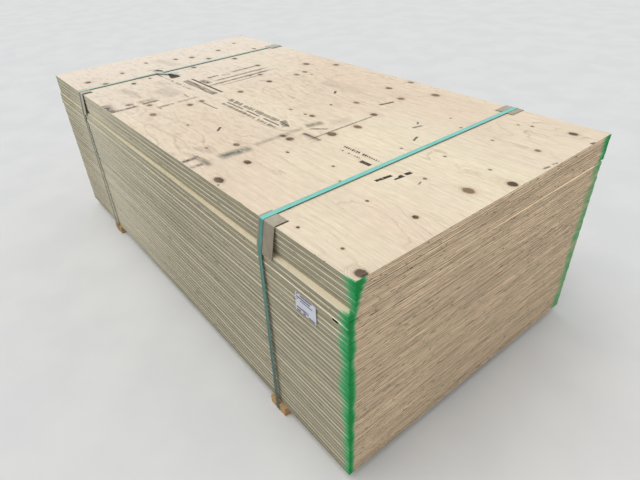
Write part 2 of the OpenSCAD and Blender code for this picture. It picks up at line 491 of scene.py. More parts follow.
def sawn_edge(settings, paint):
    """The sawn edge: seven plies told apart by their height in the sheet, with glue lines between them.

    On the long sides the odd plies show end grain and the two outer ones are pale; on the ends the even
    plies do. Every ply has its own slow change of tone along the run. The ends also have fine bands, dark
    seams of painted shade where two sheets meet and a paler line beside them. The front is painted paler
    towards the far end as light, and every side is painted darker near the floor as shade. A point's sunk
    value is above zero in the void, whose inside is painted near black as shade, and below zero on the pale
    splinter beside it.
    """
    f = Finish("Sawn plywood edge")
    run, level, _ = f.parts(f.flat_map("edge"))
    ply_place = (level + (PLY - OUTER_PLY)) / PLY
    ply = f.floor(ply_place)
    across = f.fract(ply_place)
    normal = f.parts(f.facing())
    on_end = abs(normal[0]) > 0.6
    odd = ply % 2.0
    outer = abs(ply - 3.0) > 2.5
    crossed = abs(odd - on_end)
    own = f.noise_at(run * 1.6, ply * 7.3)
    short = f.noise_at(run * 7.0, ply * 5.1, 2.0)
    fine = f.noise_at(run * 22.0, level * 520.0, ply, detail=1.0)
    grit = f.noise_at(run * 110.0, level * 320.0, ply, detail=1.0)
    weathered = f.noise_at(run * 2.0, ply * 0.45)
    bright = outer * f.spread(weathered, 0.34, 0.64, 0.25, 1.0)
    front = f.mix(odd, settings.long_grain, settings.end_grain)
    front = f.mix(bright, front, settings.face_edge)
    end = f.mix(odd, settings.end_dark, settings.end_pale)
    colour = f.mix(on_end, front, end)
    slow = f.spread(own, 0.3, 0.7, -0.22, 0.22) * f.scaled(on_end, -0.5, 1.0)
    light = slow + f.spread(short, 0.3, 0.7, -0.12, 0.12)
    bands = f.noise_at(run * 4.0, level * 400.0, 9.0, detail=3.0, rough=0.6)
    light = light + on_end * f.spread(bands, 0.32, 0.68, -0.42, 0.36)
    from_face = SHEET_HALF - abs(level - SHEET_HALF)
    # Painted shade: the end darkens in the gap where two sheets meet
    gap_shade = f.noise_at(run * 3.5, 4.0)
    gap_shade = f.spread(from_face, 0.0011, 0.0019, 1.0, 0.0) * f.spread(gap_shade, 0.35, 0.65, 0.0, 0.6)
    beside = f.near(from_face, 0.0035, 0.0014) * f.spread(short, 0.4, 0.6, 0.0, 0.3)
    light = light + on_end * (beside - gap_shade * 0.5)
    light = light + f.spread(fine, 0.2, 0.8, -0.14, 0.14) * (1.0 + on_end)
    light = light + f.spread(grit, 0.25, 0.75, -0.13, 0.13) * crossed
    light = light * f.scaled(bright, -0.5, 1.0)
    light = light + f.value_of("sheet_tone")
    edge_of_ply = f.math("MINIMUM", across, 1.0 - across)
    thinning = f.spread(f.noise_at(run * 14.0, ply), 0.3, 0.6, 0.15, 0.7)
    glue = f.spread(edge_of_ply, 0.05, 0.13, 1.0, 0.0) * thinning
    pits = f.noise_at(run * 45.0, level * 190.0, ply, detail=1.0)
    pits = f.spread(f.scaled(on_end, 0.07, pits), 0.73, 0.76)
    colour = f.mix(glue, colour, settings.glue)
    x, _, z = f.parts(f.place())
    # Painted light: the front is painted paler towards the far end, where more light falls
    far = f.spread(x, -1.0, -0.75, 0.3, 1.0) * f.spread(x, -0.6, 0.2, 0.6, 0.0)
    far = far * (1.0 - on_end)
    colour = f.mix(far, colour, tone(216, 209, 187))
    # Painted shade: the lowest sheets are darker towards the floor
    painted_floor_shade = f.spread(z, 0.03, 0.24, 0.86, 1.0)
    colour = f.shaded(colour, (1.0 + light) * painted_floor_shade)
    colour = f.mix(pits * 0.9, colour, tone(58, 46, 34))
    bare = bright * (1.0 - on_end)
    colour = corner_paint(f, colour, paint, bare)
    colour = f.shaded(colour, f.scaled(glue, -0.3, 1.04))
    sunk = f.value_of("sunk")
    # Painted shade: the inside of the core void is painted near black
    colour = f.mix(f.spread(sunk, 0.0, 0.001), colour, tone(26, 20, 14))
    colour = f.mix(f.spread(sunk, -0.0005, -0.001), colour, tone(246, 244, 226))
    height = fine * 0.4 + grit * 0.4 - (glue * 0.6 + pits * 2.0)
    return f.finish(colour, 0.85, 0.15, height, 0.0004, 0.35)


def veneer_colour(f, face, late_wood, strength):
    """Sanded veneer: early wood crossed by grain lines, which are level lines of a stretched noise.

    The line number is the place across the sheet, pushed aside round knots, plus slow noise; each line
    darkens slowly and ends sharply, as late wood does.
    """
    x, y, _ = f.parts(f.place())
    across = y + f.value_of("grain_shift")
    slow = f.noise_at(x * 0.8, across * 3.0, rough=0.45)
    kink = f.noise_at(x * 7.0, across * 16.0, detail=3.0, rough=0.6)
    line = across * 30.0 + slow * 30.0
    line = line + kink * 1.5
    saw = f.fract(line)
    own = f.chance(f.floor(line), 0.5)
    thin = f.spread(saw, 0.84, 0.95) * f.spread(saw, 0.97, 1.0, 1.0, 0.0)
    late = thin * 0.85 + saw ** 4.0 * 0.25
    faded = f.spread(f.stretched((2.4, 6.0, 1.0)), 0.38, 0.62, 0.15, 1.0)
    late = late * faded * f.spread(own, 0.0, 1.0, 0.3 * strength, strength)
    colour = f.mix(late, face, late_wood)
    patch = f.stretched((1.3, 3.2, 1.0))
    colour = f.mix(f.spread(patch, 0.38, 0.66, 0.0, 0.45), colour, tone(236, 210, 184))
    pale = f.stretched((0.9, 2.6, 3.0), 1.0)
    colour = f.mix(f.spread(pale, 0.46, 0.7, 0.0, 0.55), colour, tone(246, 235, 203))
    fibre = f.stretched((9.0, 420.0, 1.0))
    shade = f.spread(fibre, 0.25, 0.75, 0.94, 1.05)
    streak = f.stretched((4.0, 90.0, 1.0), 3.0, 0.6)
    shade = shade * f.spread(streak, 0.3, 0.7, 0.92, 1.05)
    mottle = f.stretched((26.0, 60.0, 1.0), 4.0, 0.65)
    shade = shade * f.spread(mottle, 0.3, 0.7, 0.93, 1.05)
    colour = f.shaded(colour, shade)
    return colour, fibre, late


def ink_dirt_and_shadow_mask(f, map_name, kind_name, ink_dirt_and_shadow):
    """Worn ink and dirt inside a mark's own box, and painted shadow beside the front guards: one map gives
    the place along it and across it, the other its kind and strength. Kind 0 is a rubbed bar, also used for
    the painted shadows, 1 a row of upright ticks, 2 a soft smear, 3 a bar in rubbed streaks along its run, 4
    a patch that widens along its run and 5 a soft green-grey smear."""
    along, across, _ = f.parts(f.flat_map(map_name))
    kind, strength, _ = f.parts(f.flat_map(kind_name))
    across = abs(across)
    ends = abs(f.fract(along) - 0.5)
    kinds = (1.0, 2.0, 3.0, 4.0, 5.0)
    ticked, soiled, streaked, tapered, stained = (f.near(kind, number, 0.4) for number in kinds)
    smear = f.most(soiled, stained)
    ragged = f.noise(f.place(), 95.0, 3.0, 0.65)
    reach = f.scaled(ragged, 0.5, 0.75)
    taper = f.between(tapered, 1.0, f.spread(f.fract(along), 0.0, 0.8, 0.15, 1.1))
    hard = f.spread(reach * taper - across, 0.0, 0.12)
    soft = f.spread(across, 0.0, 1.15, 1.0, 0.0, soft=True)
    body = f.between(smear, hard, soft)
    short_fade = f.spread(ends, 0.47, 0.499, 1.0, 0.0)
    long_fade = f.spread(ends, 0.3, 0.499, 1.0, 0.0, soft=True)
    fade = f.between(smear, short_fade, long_fade)
    box = (across < 1.25) * fade
    x, y, _ = f.parts(f.place())
    cell = (x + y * 0.35) * 95.0
    pick = f.chance(f.floor(cell), f.floor(along))
    tick = f.fract(cell) < f.spread(pick, 0.0, 1.0, 0.35, 0.72)
    tick = tick * (pick > 0.16)
    tick = tick * (across < f.scaled(pick, 0.5, 0.5))
    body = f.between(ticked, body, tick)
    worn = f.stretched((26.0, 60.0, 1.0), 4.0, 0.7)
    stroke = f.stretched((11.0, 190.0, 1.0), 3.0, 0.6)
    worn = f.between(smear, f.spread(worn, 0.24, 0.42), f.spread(worn, 0.3, 0.55, 0.2, 1.0))
    worn = f.between(ticked, worn, f.spread(worn, 0.0, 1.0, 0.6, 1.0))
    worn = f.between(streaked, worn, f.spread(stroke, 0.38, 0.6, 0.2, 0.95))
    tint = f.mix(soiled, ink_dirt_and_shadow, tone(84, 71, 60))
    tint = f.mix(stained, tint, tone(84, 98, 84))
    return body * worn * (box * strength), tint


def top_veneer(settings, paint):
    """The top sheet's face: veneer, knots with halo and rings, worn ink, scuffs, a little corner paint,
    painted shadows beside the front guards and a painted sheen towards the far end.
    """
    f = Finish("Knotty face veneer")
    colour, fibre, late = veneer_colour(f, settings.face, settings.late_wood, 0.68)
    # Painted sheen: the face is painted whiter towards the far end
    far = f.spread(f.parts(f.place())[0], -1.1, -0.1, 0.5, 0.0)
    colour = f.mix(far, colour, tone(247, 238, 226))
    away = f.size_of(f.flat_map("knots"))
    ragged = away + f.scaled(f.noise(f.place(), 150.0, 3.0), 0.5, -0.25)
    halo = f.spread(ragged, 0.9, 1.7, 0.5, 0.0, soft=True)
    colour = f.mix(halo, colour, tone(200, 170, 138))
    rings = f.fract(ragged * 2.6)
    rings = f.spread(rings, 0.6, 1.0) * f.spread(away, 1.2, 3.2, 0.55, 0.0)
    colour = f.mix(rings, colour, tone(158, 128, 96))
    heart = f.spread(ragged, 0.82, 1.08, 1.0, 0.0, soft=True)
    pale = f.spread(f.noise(f.place(), 12.0, 1.0), 0.38, 0.56)
    knot = f.mix(pale, settings.knot, tone(132, 108, 82))
    colour = f.mix(heart * 0.96, colour, knot)
    grime = f.spread(f.stretched((18.0, 46.0, 1.0), 4.0, 0.65), 0.5, 0.68)
    grime = grime * f.spread(f.parts(f.place())[0], 0.3, 0.6, 0.32, 0.0)
    colour = f.mix(grime, colour, tone(178, 158, 142))
    split = f.stretched((7.0, 210.0, 1.0), 3.0, 0.6)
    crack = f.spread(split, 0.735, 0.77) * 0.5
    colour = f.mix(crack, colour, tone(150, 122, 92))
    # These marks include painted shadow beside the front guards
    for name in ("smear", "scuff", "ink_dirt_and_shadow"):
        mask, tint = ink_dirt_and_shadow_mask(f, name, name + "_kind", settings.ink_dirt_and_shadow)
        colour = f.mix(mask, colour, tint)
    dust = f.spread(f.noise(f.place(), 5.5, 4.0, 0.6), 0.5, 0.8, 0.0, 0.14)
    colour = f.mix(dust, colour, tone(190, 180, 166))
    colour = corner_paint(f, colour, paint)
    height = fibre * 0.25 - (late * 0.2 + crack)
    height = height - heart * 0.5
    rough = f.spread(heart, 0.0, 1.0, 0.62, 0.48)
    return f.finish(colour, rough, 0.22, height, 0.0004, 0.5)


def covered_veneer(settings, paint):
    """The face of the sheets that lay covered: yellower, with softer grain and no knots, and corner paint."""
    f = Finish("Covered face veneer")
    colour, fibre, _ = veneer_colour(f, settings.ledge, tone(176, 158, 118), 0.8)
    colour = f.mix(0.25, colour, settings.ledge)
    x = f.parts(f.place())[0]
    colour = f.mix(f.spread(x, 0.2, 1.2, 0.0, 0.7), colour, tone(234, 220, 192))
    colour = corner_paint(f, colour, paint)
    return f.finish(colour, 0.7, 0.2, fibre * 0.3, 0.0004, 0.5)


def embossed_plastic(name, top, side):
    """Strap plastic: slanting embossed ribs on the strap's own map, rubbed pale along its middle.

    It is painted paler where it lies flat on top and darker down the sides, as light from above falls, with
    painted shade darkest near the floor and a thin painted shadow along both edges.
    """
    f = Finish(name)
    run, across, _ = f.parts(f.flat_map("strap"))
    one = f.math("SINE", (run + across * 0.6) * 1900.0)
    two = f.math("SINE", (run - across * 0.6) * 1900.0)
    ribs = one * two
    # Painted light and shade: the top colour where the strap faces up, darker side colours that grow darker
    # towards the floor
    upward = f.parts(f.facing())[2]
    height = f.parts(f.place())[2]
    shaded_side = f.mix(f.spread(height, 0.1, 0.75), tone(*side[0]), tone(*side[1]))
    colour = f.mix(f.spread(upward, 0.3, 0.8), shaded_side, tone(*top))
    colour = f.shaded(colour, f.spread(ribs, -0.6, 0.6, 0.86, 1.08))
    rub = f.noise_at(run * 22.0, across * 160.0, detail=3.0, rough=0.6)
    colour = f.mix(f.spread(rub, 0.45, 0.7, 0.0, 0.4), colour, f.mix(0.5, colour, tone(206, 240, 234)))
    dirt = f.noise_at(run * 6.0, across * 40.0, 3.0, detail=3.0, rough=0.6)
    colour = f.mix(f.spread(dirt, 0.5, 0.78, 0.0, 0.4), colour, tone(72, 96, 80))
    # Painted shadow: a dark line along both edges of the strap
    rim = f.spread(abs(across), 0.0078, 0.0093, 0.0, 0.5)
    colour = f.mix(rim, colour, tone(52, 92, 80))
    return f.finish(colour, f.spread(rub, 0.3, 0.8, 0.32, 0.5), 0.45, ribs, 0.0002, 0.8)


def pressed_board(settings):
    """Guard board: dull grey brown with fine pressed fibre, painted darker as shade on faces that don't look
    up, paler at the far end of the stack, and with a painted shadow line along the +X edge of the far guards.
    """
    f = Finish("Dull pressed board")
    across = f.parts(f.flat_map("guard"))[1]
    blotch = f.noise(f.place(), 34.0, 4.0, 0.6)
    fibre = f.noise(f.place(), 900.0, 2.0, 0.6)
    colour = f.mix(f.spread(blotch, 0.35, 0.7, 0.0, 0.8), settings.board, settings.worn)
    # Painted shade: faces that don't look up are darker
    upward = f.parts(f.facing())[2]
    colour = f.mix(f.spread(upward, 0.3, 0.8, 0.5, 0.0), colour, tone(112, 100, 78))
    x, _, _ = f.parts(f.place())
    colour = f.mix(f.spread(x, -0.7, 0.0, 0.7, 0.0), colour, tone(206, 196, 176))
    # Painted shadow: a dark line along the +X edge of the far guards, where they stand off the sheets
    rim = f.spread(across, 0.03, 0.0388, 0.0, 0.8) * (x < 0.0)
    colour = f.mix(rim, colour, tone(70, 62, 52))
    stain = f.spread(f.stretched((28.0, 28.0, 7.0), 3.0, 0.6), 0.55, 0.72, 0.0, 0.35)
    colour = f.mix(stain, colour, tone(132, 108, 84))
    shade = f.spread(fibre, 0.2, 0.8, 0.93, 1.05)
    colour = f.shaded(colour, shade)
    return f.finish(colour, 0.6, 0.3, fibre * 0.4 + blotch, 0.0005, 0.5)


def sawn_bearer(settings):
    """Bearer wood: grain along Y, growth rings on its ends, and saw marks across."""
    f = Finish("Rough sawn bearer")
    x, y, z = f.parts(f.place())
    warp = f.scaled(f.noise_at(x * 9.0, y * 1.3, z * 9.0, detail=3.0), 0.05, -0.025)
    ring = f.size_of(f.join(abs(x) - 0.79, 0.0, z + 0.05)) + warp
    ring = f.fract(ring * 210.0)
    colour = f.mix(f.spread(ring, 0.35, 1.0, 0.0, 0.75), settings.wood, settings.grain)
    saw = f.math("SINE", f.scaled(y, 1700.0, x * 190.0))
    fuzz = f.stretched((420.0, 26.0, 420.0), 3.0, 0.6)
    shade = f.spread(fuzz, 0.2, 0.8, 0.8, 1.12) * f.spread(saw, -1.0, 1.0, 0.95, 1.03)
    colour = f.shaded(colour, shade)
    stain = f.spread(f.noise(f.place(), 21.0, 3.0, 0.6), 0.56, 0.72, 0.0, 0.55)
    colour = f.mix(stain, colour, tone(128, 92, 74))
    return f.finish(colour, 0.82, 0.15, fuzz + saw * 0.25, 0.0006, 0.7)


def label_paper(settings):
    """Label: plain paper with rows of generic worn bars, a faint violet block and a dull rim, on its own map.

    The bars lie in the upper and the lowest rows; a row's length and the bars that are left out are chance.
    """
    f = Finish("Worn label paper")
    rows, columns = 7.0, 8.0
    u, v, _ = f.parts(f.flat_map("label"))
    row = v * rows
    count = f.floor(row)
    pick = f.chance(f.floor(u * columns), count)
    wide = f.chance(count, 4.0)
    height = f.fract(row)
    line = f.spread(height, 0.15, 0.25) * f.spread(height, 0.7, 0.8, 1.0, 0.0)
    printed = f.most(v > 0.62, v < 0.3)
    inside = (u > 0.07) * (u < f.spread(wide, 0.0, 1.0, 0.6, 0.95))
    bar = line * (pick > 0.3) * (printed * inside)
    worn = f.spread(f.noise(f.place(), 240.0, 3.0, 0.6), 0.3, 0.55, 0.7, 1.0)
    shadow = f.noise(f.place(), 18.0, 3.0)
    colour = f.mix(f.spread(shadow, 0.4, 0.7), settings.paper, tone(212, 206, 222))
    colour = f.mix(bar * worn, colour, settings.bars)
    violet = f.near(v, 0.2, 0.08) * f.near(u, 0.5, 0.14)
    colour = f.mix(violet * 0.7, colour, tone(128, 112, 168))
    rim = f.most(abs(u - 0.5), abs(v - 0.5))
    colour = f.mix(f.spread(rim, 0.455, 0.5, 0.0, 0.6), colour, tone(138, 112, 126))
    return f.finish(colour, 0.5, 0.35, f.noise(f.place(), 60.0, 3.0), 0.0006, 0.4)


# Sheets

# Knots of the top face: place from the face's middle, then half length and half width, in millimetres.
KNOTS = np.array([
    (1204, -577, 20, 16), (1130, -75, 21, 16), (1194, 50, 17, 15), (1130, 520, 18, 13), (1119, 311, 11, 9),
    (1123, -297, 10, 9), (548, -582, 24, 15), (500, -442, 18, 12), (520, -78, 21, 17), (538, 38, 20, 13),
    (445, -218, 17, 15), (490, 173, 17, 13), (438, 388, 17, 14), (515, 522, 21, 15), (300, 458, 17, 12),
    (316, 588, 15, 11), (335, 222, 15, 10), (318, -10, 14, 11), (345, -390, 15, 11), (-177, -46, 17, 13),
    (-195, -243, 16, 12), (-190, -305, 17, 13), (-195, -480, 19, 14), (-208, 142, 17, 13),
    (-341, 177, 15, 11),
    (-195, 305, 17, 12), (-202, 362, 17, 12), (-178, 555, 19, 14), (-314, 461, 21, 16), (-498, 266, 17, 13),
    (-325, -440, 15, 12), (-709, -358, 16, 11), (-741, 3, 17, 13), (-724, 257, 17, 13), (-924, -524, 20, 15),
    (-988, 13, 17, 11), (-953, 100, 19, 14), (-974, 292, 18, 12), (-845, 155, 18, 13), (-823, -466, 17, 14),
    (-950, -327, 15, 9), (-1050, -145, 17, 9), (-833, 463, 15, 10), (-1056, 455, 15, 8), (-733, -259, 10, 7),
    (-365, 130, 11, 8), (970, -331, 6, 5), (935, 62, 6, 5), (967, 281, 6, 5), (993, 487, 6, 6),
    (950, 465, 5, 4), (1099, -542, 6, 5), (944, -565, 6, 5), (845, -521, 6, 5), (994, -107, 7, 6),
    (1094, 83, 6, 5), (533, -295, 8, 5), (192, -25, 10, 6), (275, 130, 8, 5), (283, -18, 9, 5),
    (790, 8, 5, 5), (818, 301, 6, 5), (826, -307, 6, 5), (732, 350, 5, 4), (730, -253, 6, 5),
    (576, -600, 5, 4), (30, -428, 9, 5), (-140, 358, 9, 5), (290, -485, 9, 5), (402, -218, 11, 9),
], float)

# Ink and dirt on the top face, and painted shadow beside the two front guards: middle, length, half width in
# millimetres, turn in degrees, kind, strength.
INK_DIRT_AND_SHADOWS = [
    (95, -141, 440, 14, 0, 1, 1.0), (104, -191, 420, 10, 0, 1, 1.0), (306, -142, 66, 15, -25, 3, 1.0),
    (722, -120, 172, 7, 0, 1, 1.0), (707, -148, 118, 5, 0, 1, 0.85), (786, -162, 44, 9, 0, 0, 0.95),
    (932, -158, 34, 9, 82, 0, 1.0), (935, -117, 18, 8, 80, 0, 1.0), (904, -196, 64, 7, 82, 0, 1.0),
    (487, -149, 98, 8, 0, 3, 0.95), (446, -80, 64, 8, 42, 3, 0.8), (435, 303, 64, 8, 76, 0, 0.8),
    (699, 196, 42, 6, 76, 0, 0.75), (769, 104, 34, 5, -70, 0, 0.85), (676, 224, 18, 4, -50, 0, 0.75),
    (1208, 258, 30, 6, 80, 2, 0.9), (1205, 218, 34, 7, 80, 2, 0.9), (1214, 490, 20, 5, 80, 0, 0.9),
    (-585, -197, 400, 8, 0, 1, 0.7), (-826, -158, 76, 17, 204, 4, 0.95), (-700, -150, 120, 24, -4, 4, 0.95),
    (-750, -200, 70, 5, 4, 0, 0.85), (-875, -166, 120, 8, 84, 2, 0.7), (162, 252, 34, 6, -48, 0, 0.9),
    (162, -358, 38, 6, -46, 0, 0.85), (-112, -247, 120, 4, 2, 0, 0.75), (62, 74, 70, 4, -4, 2, 0.6),
    (-242, 128, 34, 8, 40, 2, 0.6), (-25, 445, 70, 22, 20, 2, 0.2), (1002, -140, 16, 3, -70, 0, 0.7),
    # The marks at x 900 and -730 are painted shadow in the gaps beside the near and far front guards
    (-395, -147, 316, 17, 0, 3, 1.0), (1215, -576, 16, 6, 80, 0, 1.0), (900, -588, 46, 4, 90, 0, 0.9),
    (-730, -588, 46, 4, 90, 0, 0.9),
]
SCUFFS = [
    (-395, -109, 318, 6, 0, 0, 0.95), (-30, -167, 130, 4, 0, 0, 0.85), (112, -167, 96, 4, 0, 0, 0.85),
    (250, -167, 110, 4, 0, 0, 0.85), (-258, -422, 44, 9, 4, 2, 0.9), (-322, -257, 80, 6, -6, 2, 0.7),
    (403, -218, 40, 20, 30, 2, 0.7), (-398, -500, 56, 24, 60, 2, 0.9), (-395, -425, 100, 34, 88, 2, 0.5),
    (368, -548, 160, 18, 0, 2, 0.75), (487, -150, 120, 26, 0, 2, 0.4), (-420, -602, 150, 40, 0, 2, 1.0),
    (300, -500, 120, 30, 20, 2, 0.25),
]
SMEARS = [
    (-560, -430, 260, 36, 8, 2, 0.3), (-560, -250, 240, 40, 12, 2, 0.2), (-440, -300, 190, 74, 6, 2, 0.26),
    (-499, 85, 420, 14, 90, 2, 1.0), (-425, 105, 400, 14, 90, 2, 0.9), (-375, 80, 460, 14, 90, 2, 1.0),
    (-335, 60, 260, 10, 90, 2, 0.6), (-450, -84, 96, 24, 0, 2, 1.0), (-362, -420, 100, 16, 89, 2, 1.0),
    (-357, -545, 150, 16, 89, 2, 1.0), (-265, -300, 180, 13, 89, 2, 0.6), (-264, -385, 90, 13, 89, 2, 0.85),
    (396, -290, 560, 20, 90, 2, 0.45), (402, -430, 150, 34, 84, 5, 0.95), (340, -580, 70, 16, 88, 2, 1.0),
    (402, -584, 60, 15, 88, 2, 0.85), (-480, 55, 60, 16, 70, 2, 0.5), (-960, -60, 260, 50, 12, 2, 0.22),
    (120, 330, 320, 60, 4, 2, 0.16), (445, 20, 140, 40, 78, 2, 0.2), (398, -62, 90, 30, 75, 2, 0.7),
    (500, 0, 400, 7, 90, 2, 0.9),
]


def steps_along(span, near, far):
    """Places from 0 to the span whose spacing grows evenly from near to far: s = near/g (exp(g n) - 1)."""
    growth = (far - near) / span
    count = math.ceil(math.log(1 + growth * span / near) / growth)
    places = near / growth * np.expm1(np.linspace(0, math.log1p(growth * span / near), count + 1))
    return places * span / places[-1]


def outline(half, settings, hidden_step, extra=()):
    """Points round a sheet, counter-clockwise from its far front corner, as shares of the half sizes.

    Gives the shares, the outward way at each point (both ways at a corner) and the places along the long
    and the short side. The back and the far end take only every few of the front's and near end's places.
    """
    along = 2 * half[0] - steps_along(2 * half[0], settings.near_step, settings.far_step)[::-1]
    along = np.unique(np.concatenate([along, extra]).round(6))
    over = steps_along(2 * half[1], settings.near_step, settings.far_step * 0.65)
    x, y = along / half[0] - 1, over / half[1] - 1
    back, far = (np.unique(np.concatenate([places[::hidden_step], places[-1:]])) for places in (x, y))
    sides = [
        (x[:-1], -np.ones(len(x) - 1), 0, -1), (np.ones(len(y) - 1), y[:-1], 1, 0),
        (back[:0:-1], np.ones(len(back) - 1), 0, 1), (-np.ones(len(far) - 1), far[:0:-1], -1, 0),
    ]
    place = np.concatenate([np.stack([a, b], 1) for a, b, _, _ in sides])
    way = np.concatenate([np.tile([nx, ny], (len(a), 1)) for a, _, nx, ny in sides]).astype(float)
    corner = (np.abs(place) > 1 - 1e-9).all(1)
    way[corner] = np.sign(place[corner])
    return place, way, x, y


def ply_relief(run, on_end, levels, settings, seed):
    """How far each ply lies in from the sheet's true edge, one row for a ply and one column for a point.

    Plies that show end grain are recessed, each ply wanders, and the two face veneers have round-bottomed
    chips: depth (1 - (distance / half length)^2) where that is above zero.
    """
    random = np.random.default_rng(seed)
    plies, chips = len(levels) + 1, 9
    crossed = (np.arange(plies)[:, None] + on_end[None, :]) % 2
    wander = np.stack([wavy(run, seed * 10 + k, 0.09) + 0.7 * wavy(run, seed * 10 + k + 5, 0.9)
                       for k in range(plies)])
    depth = crossed * settings.cross_recess + np.clip(wander * 0.5 + 0.5, 0, 1) * settings.wander
    for ply in (0, plies - 1):
        for middle, half, deep in zip(random.uniform(0, run[-1], chips), random.uniform(4, 26, chips) * MM,
                                      random.uniform(0.3, 1, chips) * settings.chip_depth):
            depth[ply] += deep * np.clip(1 - ((run - middle) / half) ** 2, 0, None)
    return depth


def corner_reach(place, half, way, low, number, settings):
    """Paint value of each point: above 1 where the spray was aimed, falling below 0 past its reach.

    The value is (reach - distance from the nearest corner) / feather. Reach and feather differ between the
    front and the ends, between the corners and between the packs, and the reach drifts from sheet to sheet.
    """
    distance = (1 - np.abs(place)) * half
    on_long = np.abs(way[:, 1]) > 0.5
    away = np.where(on_long, distance[:, 0], distance[:, 1])
    near, front = place[:, 0] > 0, place[:, 1] < 0
    drift = 1 + 0.12 * float(wavy(np.array([number * 1.0]), 5, 9.0)[0])
    if low > LEDGE_HEIGHT:
        rise = (low - LEDGE_HEIGHT) / 0.08
        front_reach = settings.front_reach * (0.65 + 0.35 * rise)
        end_reach = settings.end_reach * (0.5 + 0.9 * rise)
        back_share, feather_share, most, far_share = 1.15, 1.0, 1.3, 0.5
    else:
        rise = min(max((low - 0.04) / 0.3, 0.0), 1.0)
        front_reach = settings.front_reach * (0.55 + 0.3 * rise) * drift
        end_reach = settings.end_reach * (0.75 + 0.25 * rise) * drift
        back_share, feather_share, most, far_share = 1.3, 1.5, 0.55, 0.15
    on_front = (front_reach - away) / settings.front_feather
    value = np.where(on_long, on_front, (end_reach - away) / settings.end_feather)
    back = (settings.back_reach * back_share * drift - away) / (settings.front_feather * feather_share)
    back = np.minimum(back, most)
    faint = (settings.front_reach * far_share - away) / settings.front_feather
    return np.where(near, np.where(front, value, back), np.where(front, faint, back * 0.7))


def marked(piece_centres, marks):
    """For each face, the last mark whose box, with a margin of 12 mm, holds its middle, or -1."""
    found = np.full(len(piece_centres), -1)
    margin = 12
    for number, (x, y, size, half, turn, _, _) in enumerate(marks):
        cos, sin = math.cos(math.radians(turn)), math.sin(math.radians(turn))
        offset = piece_centres / MM - (x, y)
        along, across = offset @ (cos, sin), offset @ (-sin, cos)
        found[(np.abs(along) < size / 2 + margin) & (np.abs(across) < half * 1.3 + margin)] = number
    return found


def face_maps(piece, middle, marks, name, corners, sizes, centres):
    """Two maps for worn marks: (number + place along, place across / half width), and (kind, strength)."""
    number = np.repeat(marked(centres[:, :2] - middle, marks), sizes)
    table = np.array([*marks, (0, 0, 1, 1, 0, 0, 0)], float)[number]
    turn = np.radians(table[:, 4])
    offset = (corners[:, :2] - middle) / MM - table[:, :2]
    along = offset[:, 0] * np.cos(turn) + offset[:, 1] * np.sin(turn)
    across = -offset[:, 0] * np.sin(turn) + offset[:, 1] * np.cos(turn)
    share = np.clip(along / table[:, 2] + 0.5, 0.0, 0.9999)
    none = number < 0
    first = np.stack([np.where(none, 0.0, number + share), np.where(none, 5.0, across / table[:, 3])], 1)
    put_uv(piece, name, first)
    put_uv(piece, name + "_kind", np.where(none[:, None], 0.0, table[:, 5:7]))


def grain_push(points, middle):
    """How far the grain lines move aside at each point: every knot pushes them away on both sides.

    The push is 0.9 r tanh(dy / r) exp(-(dx / 5r)^2 - (dy / 3.5r)^2), summed over the knots.
    """
    offset = (points[:, None, :2] - middle) / MM - KNOTS[None, :, :2]
    radius = KNOTS[None, :, 3]
    dx, dy = offset[..., 0] / radius, offset[..., 1] / radius
    return -(0.9 * radius * np.tanh(dy) * np.exp(-(dx / 5) ** 2 - (dy / 3.5) ** 2)).sum(1) * MM


def hole(places, reach):
    """How much of the hole's depth lies at each place: exp(-(dx / reach)^2 - (dy / reach)^2)."""
    return np.exp(-(((places - HOLE_AT) / reach) ** 2).sum(-1))


def edge_rows(depth, levels, arris, thick):
    """Rows of points down an edge, as depth below the top and way inwards, with a step at each glue line."""
    rows = [(0.0, depth[0] + arris), (arris, depth[0])]
    for ply, level in enumerate(levels):
        rows += [(level - GLUE_HALF, depth[ply]), (level + GLUE_HALF, depth[ply + 1])]
    return [*rows, (thick - arris, depth[-1]), (thick, depth[-1] + arris)]


def top_face(x, y, middle, half, top, first):
    """The top face: its points inside the rim, and the cells that join them and the band's first row.

    A point's height is the top less 0.05 mm times (1 + wave), and less 4 mm in the middle of the hole.
    """
    nx, ny = len(x), len(y)
    along, over = np.arange(nx), np.arange(ny)
    sides = (along[:-1], 0), (nx - 1, over[:-1]), (along[:0:-1], ny - 1), (0, over[:0:-1])
    rim = np.concatenate([np.column_stack(np.broadcast_arrays(*side)) for side in sides])
    index = np.zeros((nx, ny), int)
    index[rim[:, 0], rim[:, 1]] = np.arange(len(rim))
    index[1:-1, 1:-1] = first + np.arange((nx - 2) * (ny - 2)).reshape(nx - 2, ny - 2)
    inner = np.stack(np.meshgrid(x[1:-1] * half[0], y[1:-1] * half[1], indexing="ij"), -1)
    wave = wavy(inner[..., 0] + 3 * inner[..., 1], 4, 0.6)
    height = top - 0.05 * MM * (1 + wave) - 4 * MM * hole(inner, 5 * MM)
    return np.concatenate([inner + middle, height[..., None]], -1).reshape(-1, 3), cells(index)


def sheet_paint(reach, rows, face, middle, half, paint):
    """Paint value of every point: the edge's rows, the rim of the upper face and the grid of a top face.

    On the top face it is 0.9 less the distance from the near front corner, in 15 mm along and 9 mm across.
    """
    values = np.tile(reach, (rows, 1))
    values[-1] = UNPAINTED
    if face is None:
        values[0] = reach - RIM / paint.end_feather
        return values.ravel()
    values[0] = np.minimum(reach, 0.75)
    away = half - np.abs(face[:, :2] - middle)
    at_corner = (face[:, 0] > 0) & (face[:, 1] < 0)
    sprayed = 0.9 - np.hypot(away[:, 0] / (15 * MM), away[:, 1] / (9 * MM))
    return np.concatenate([values.ravel(), np.where(at_corner, sprayed, UNPAINTED)])


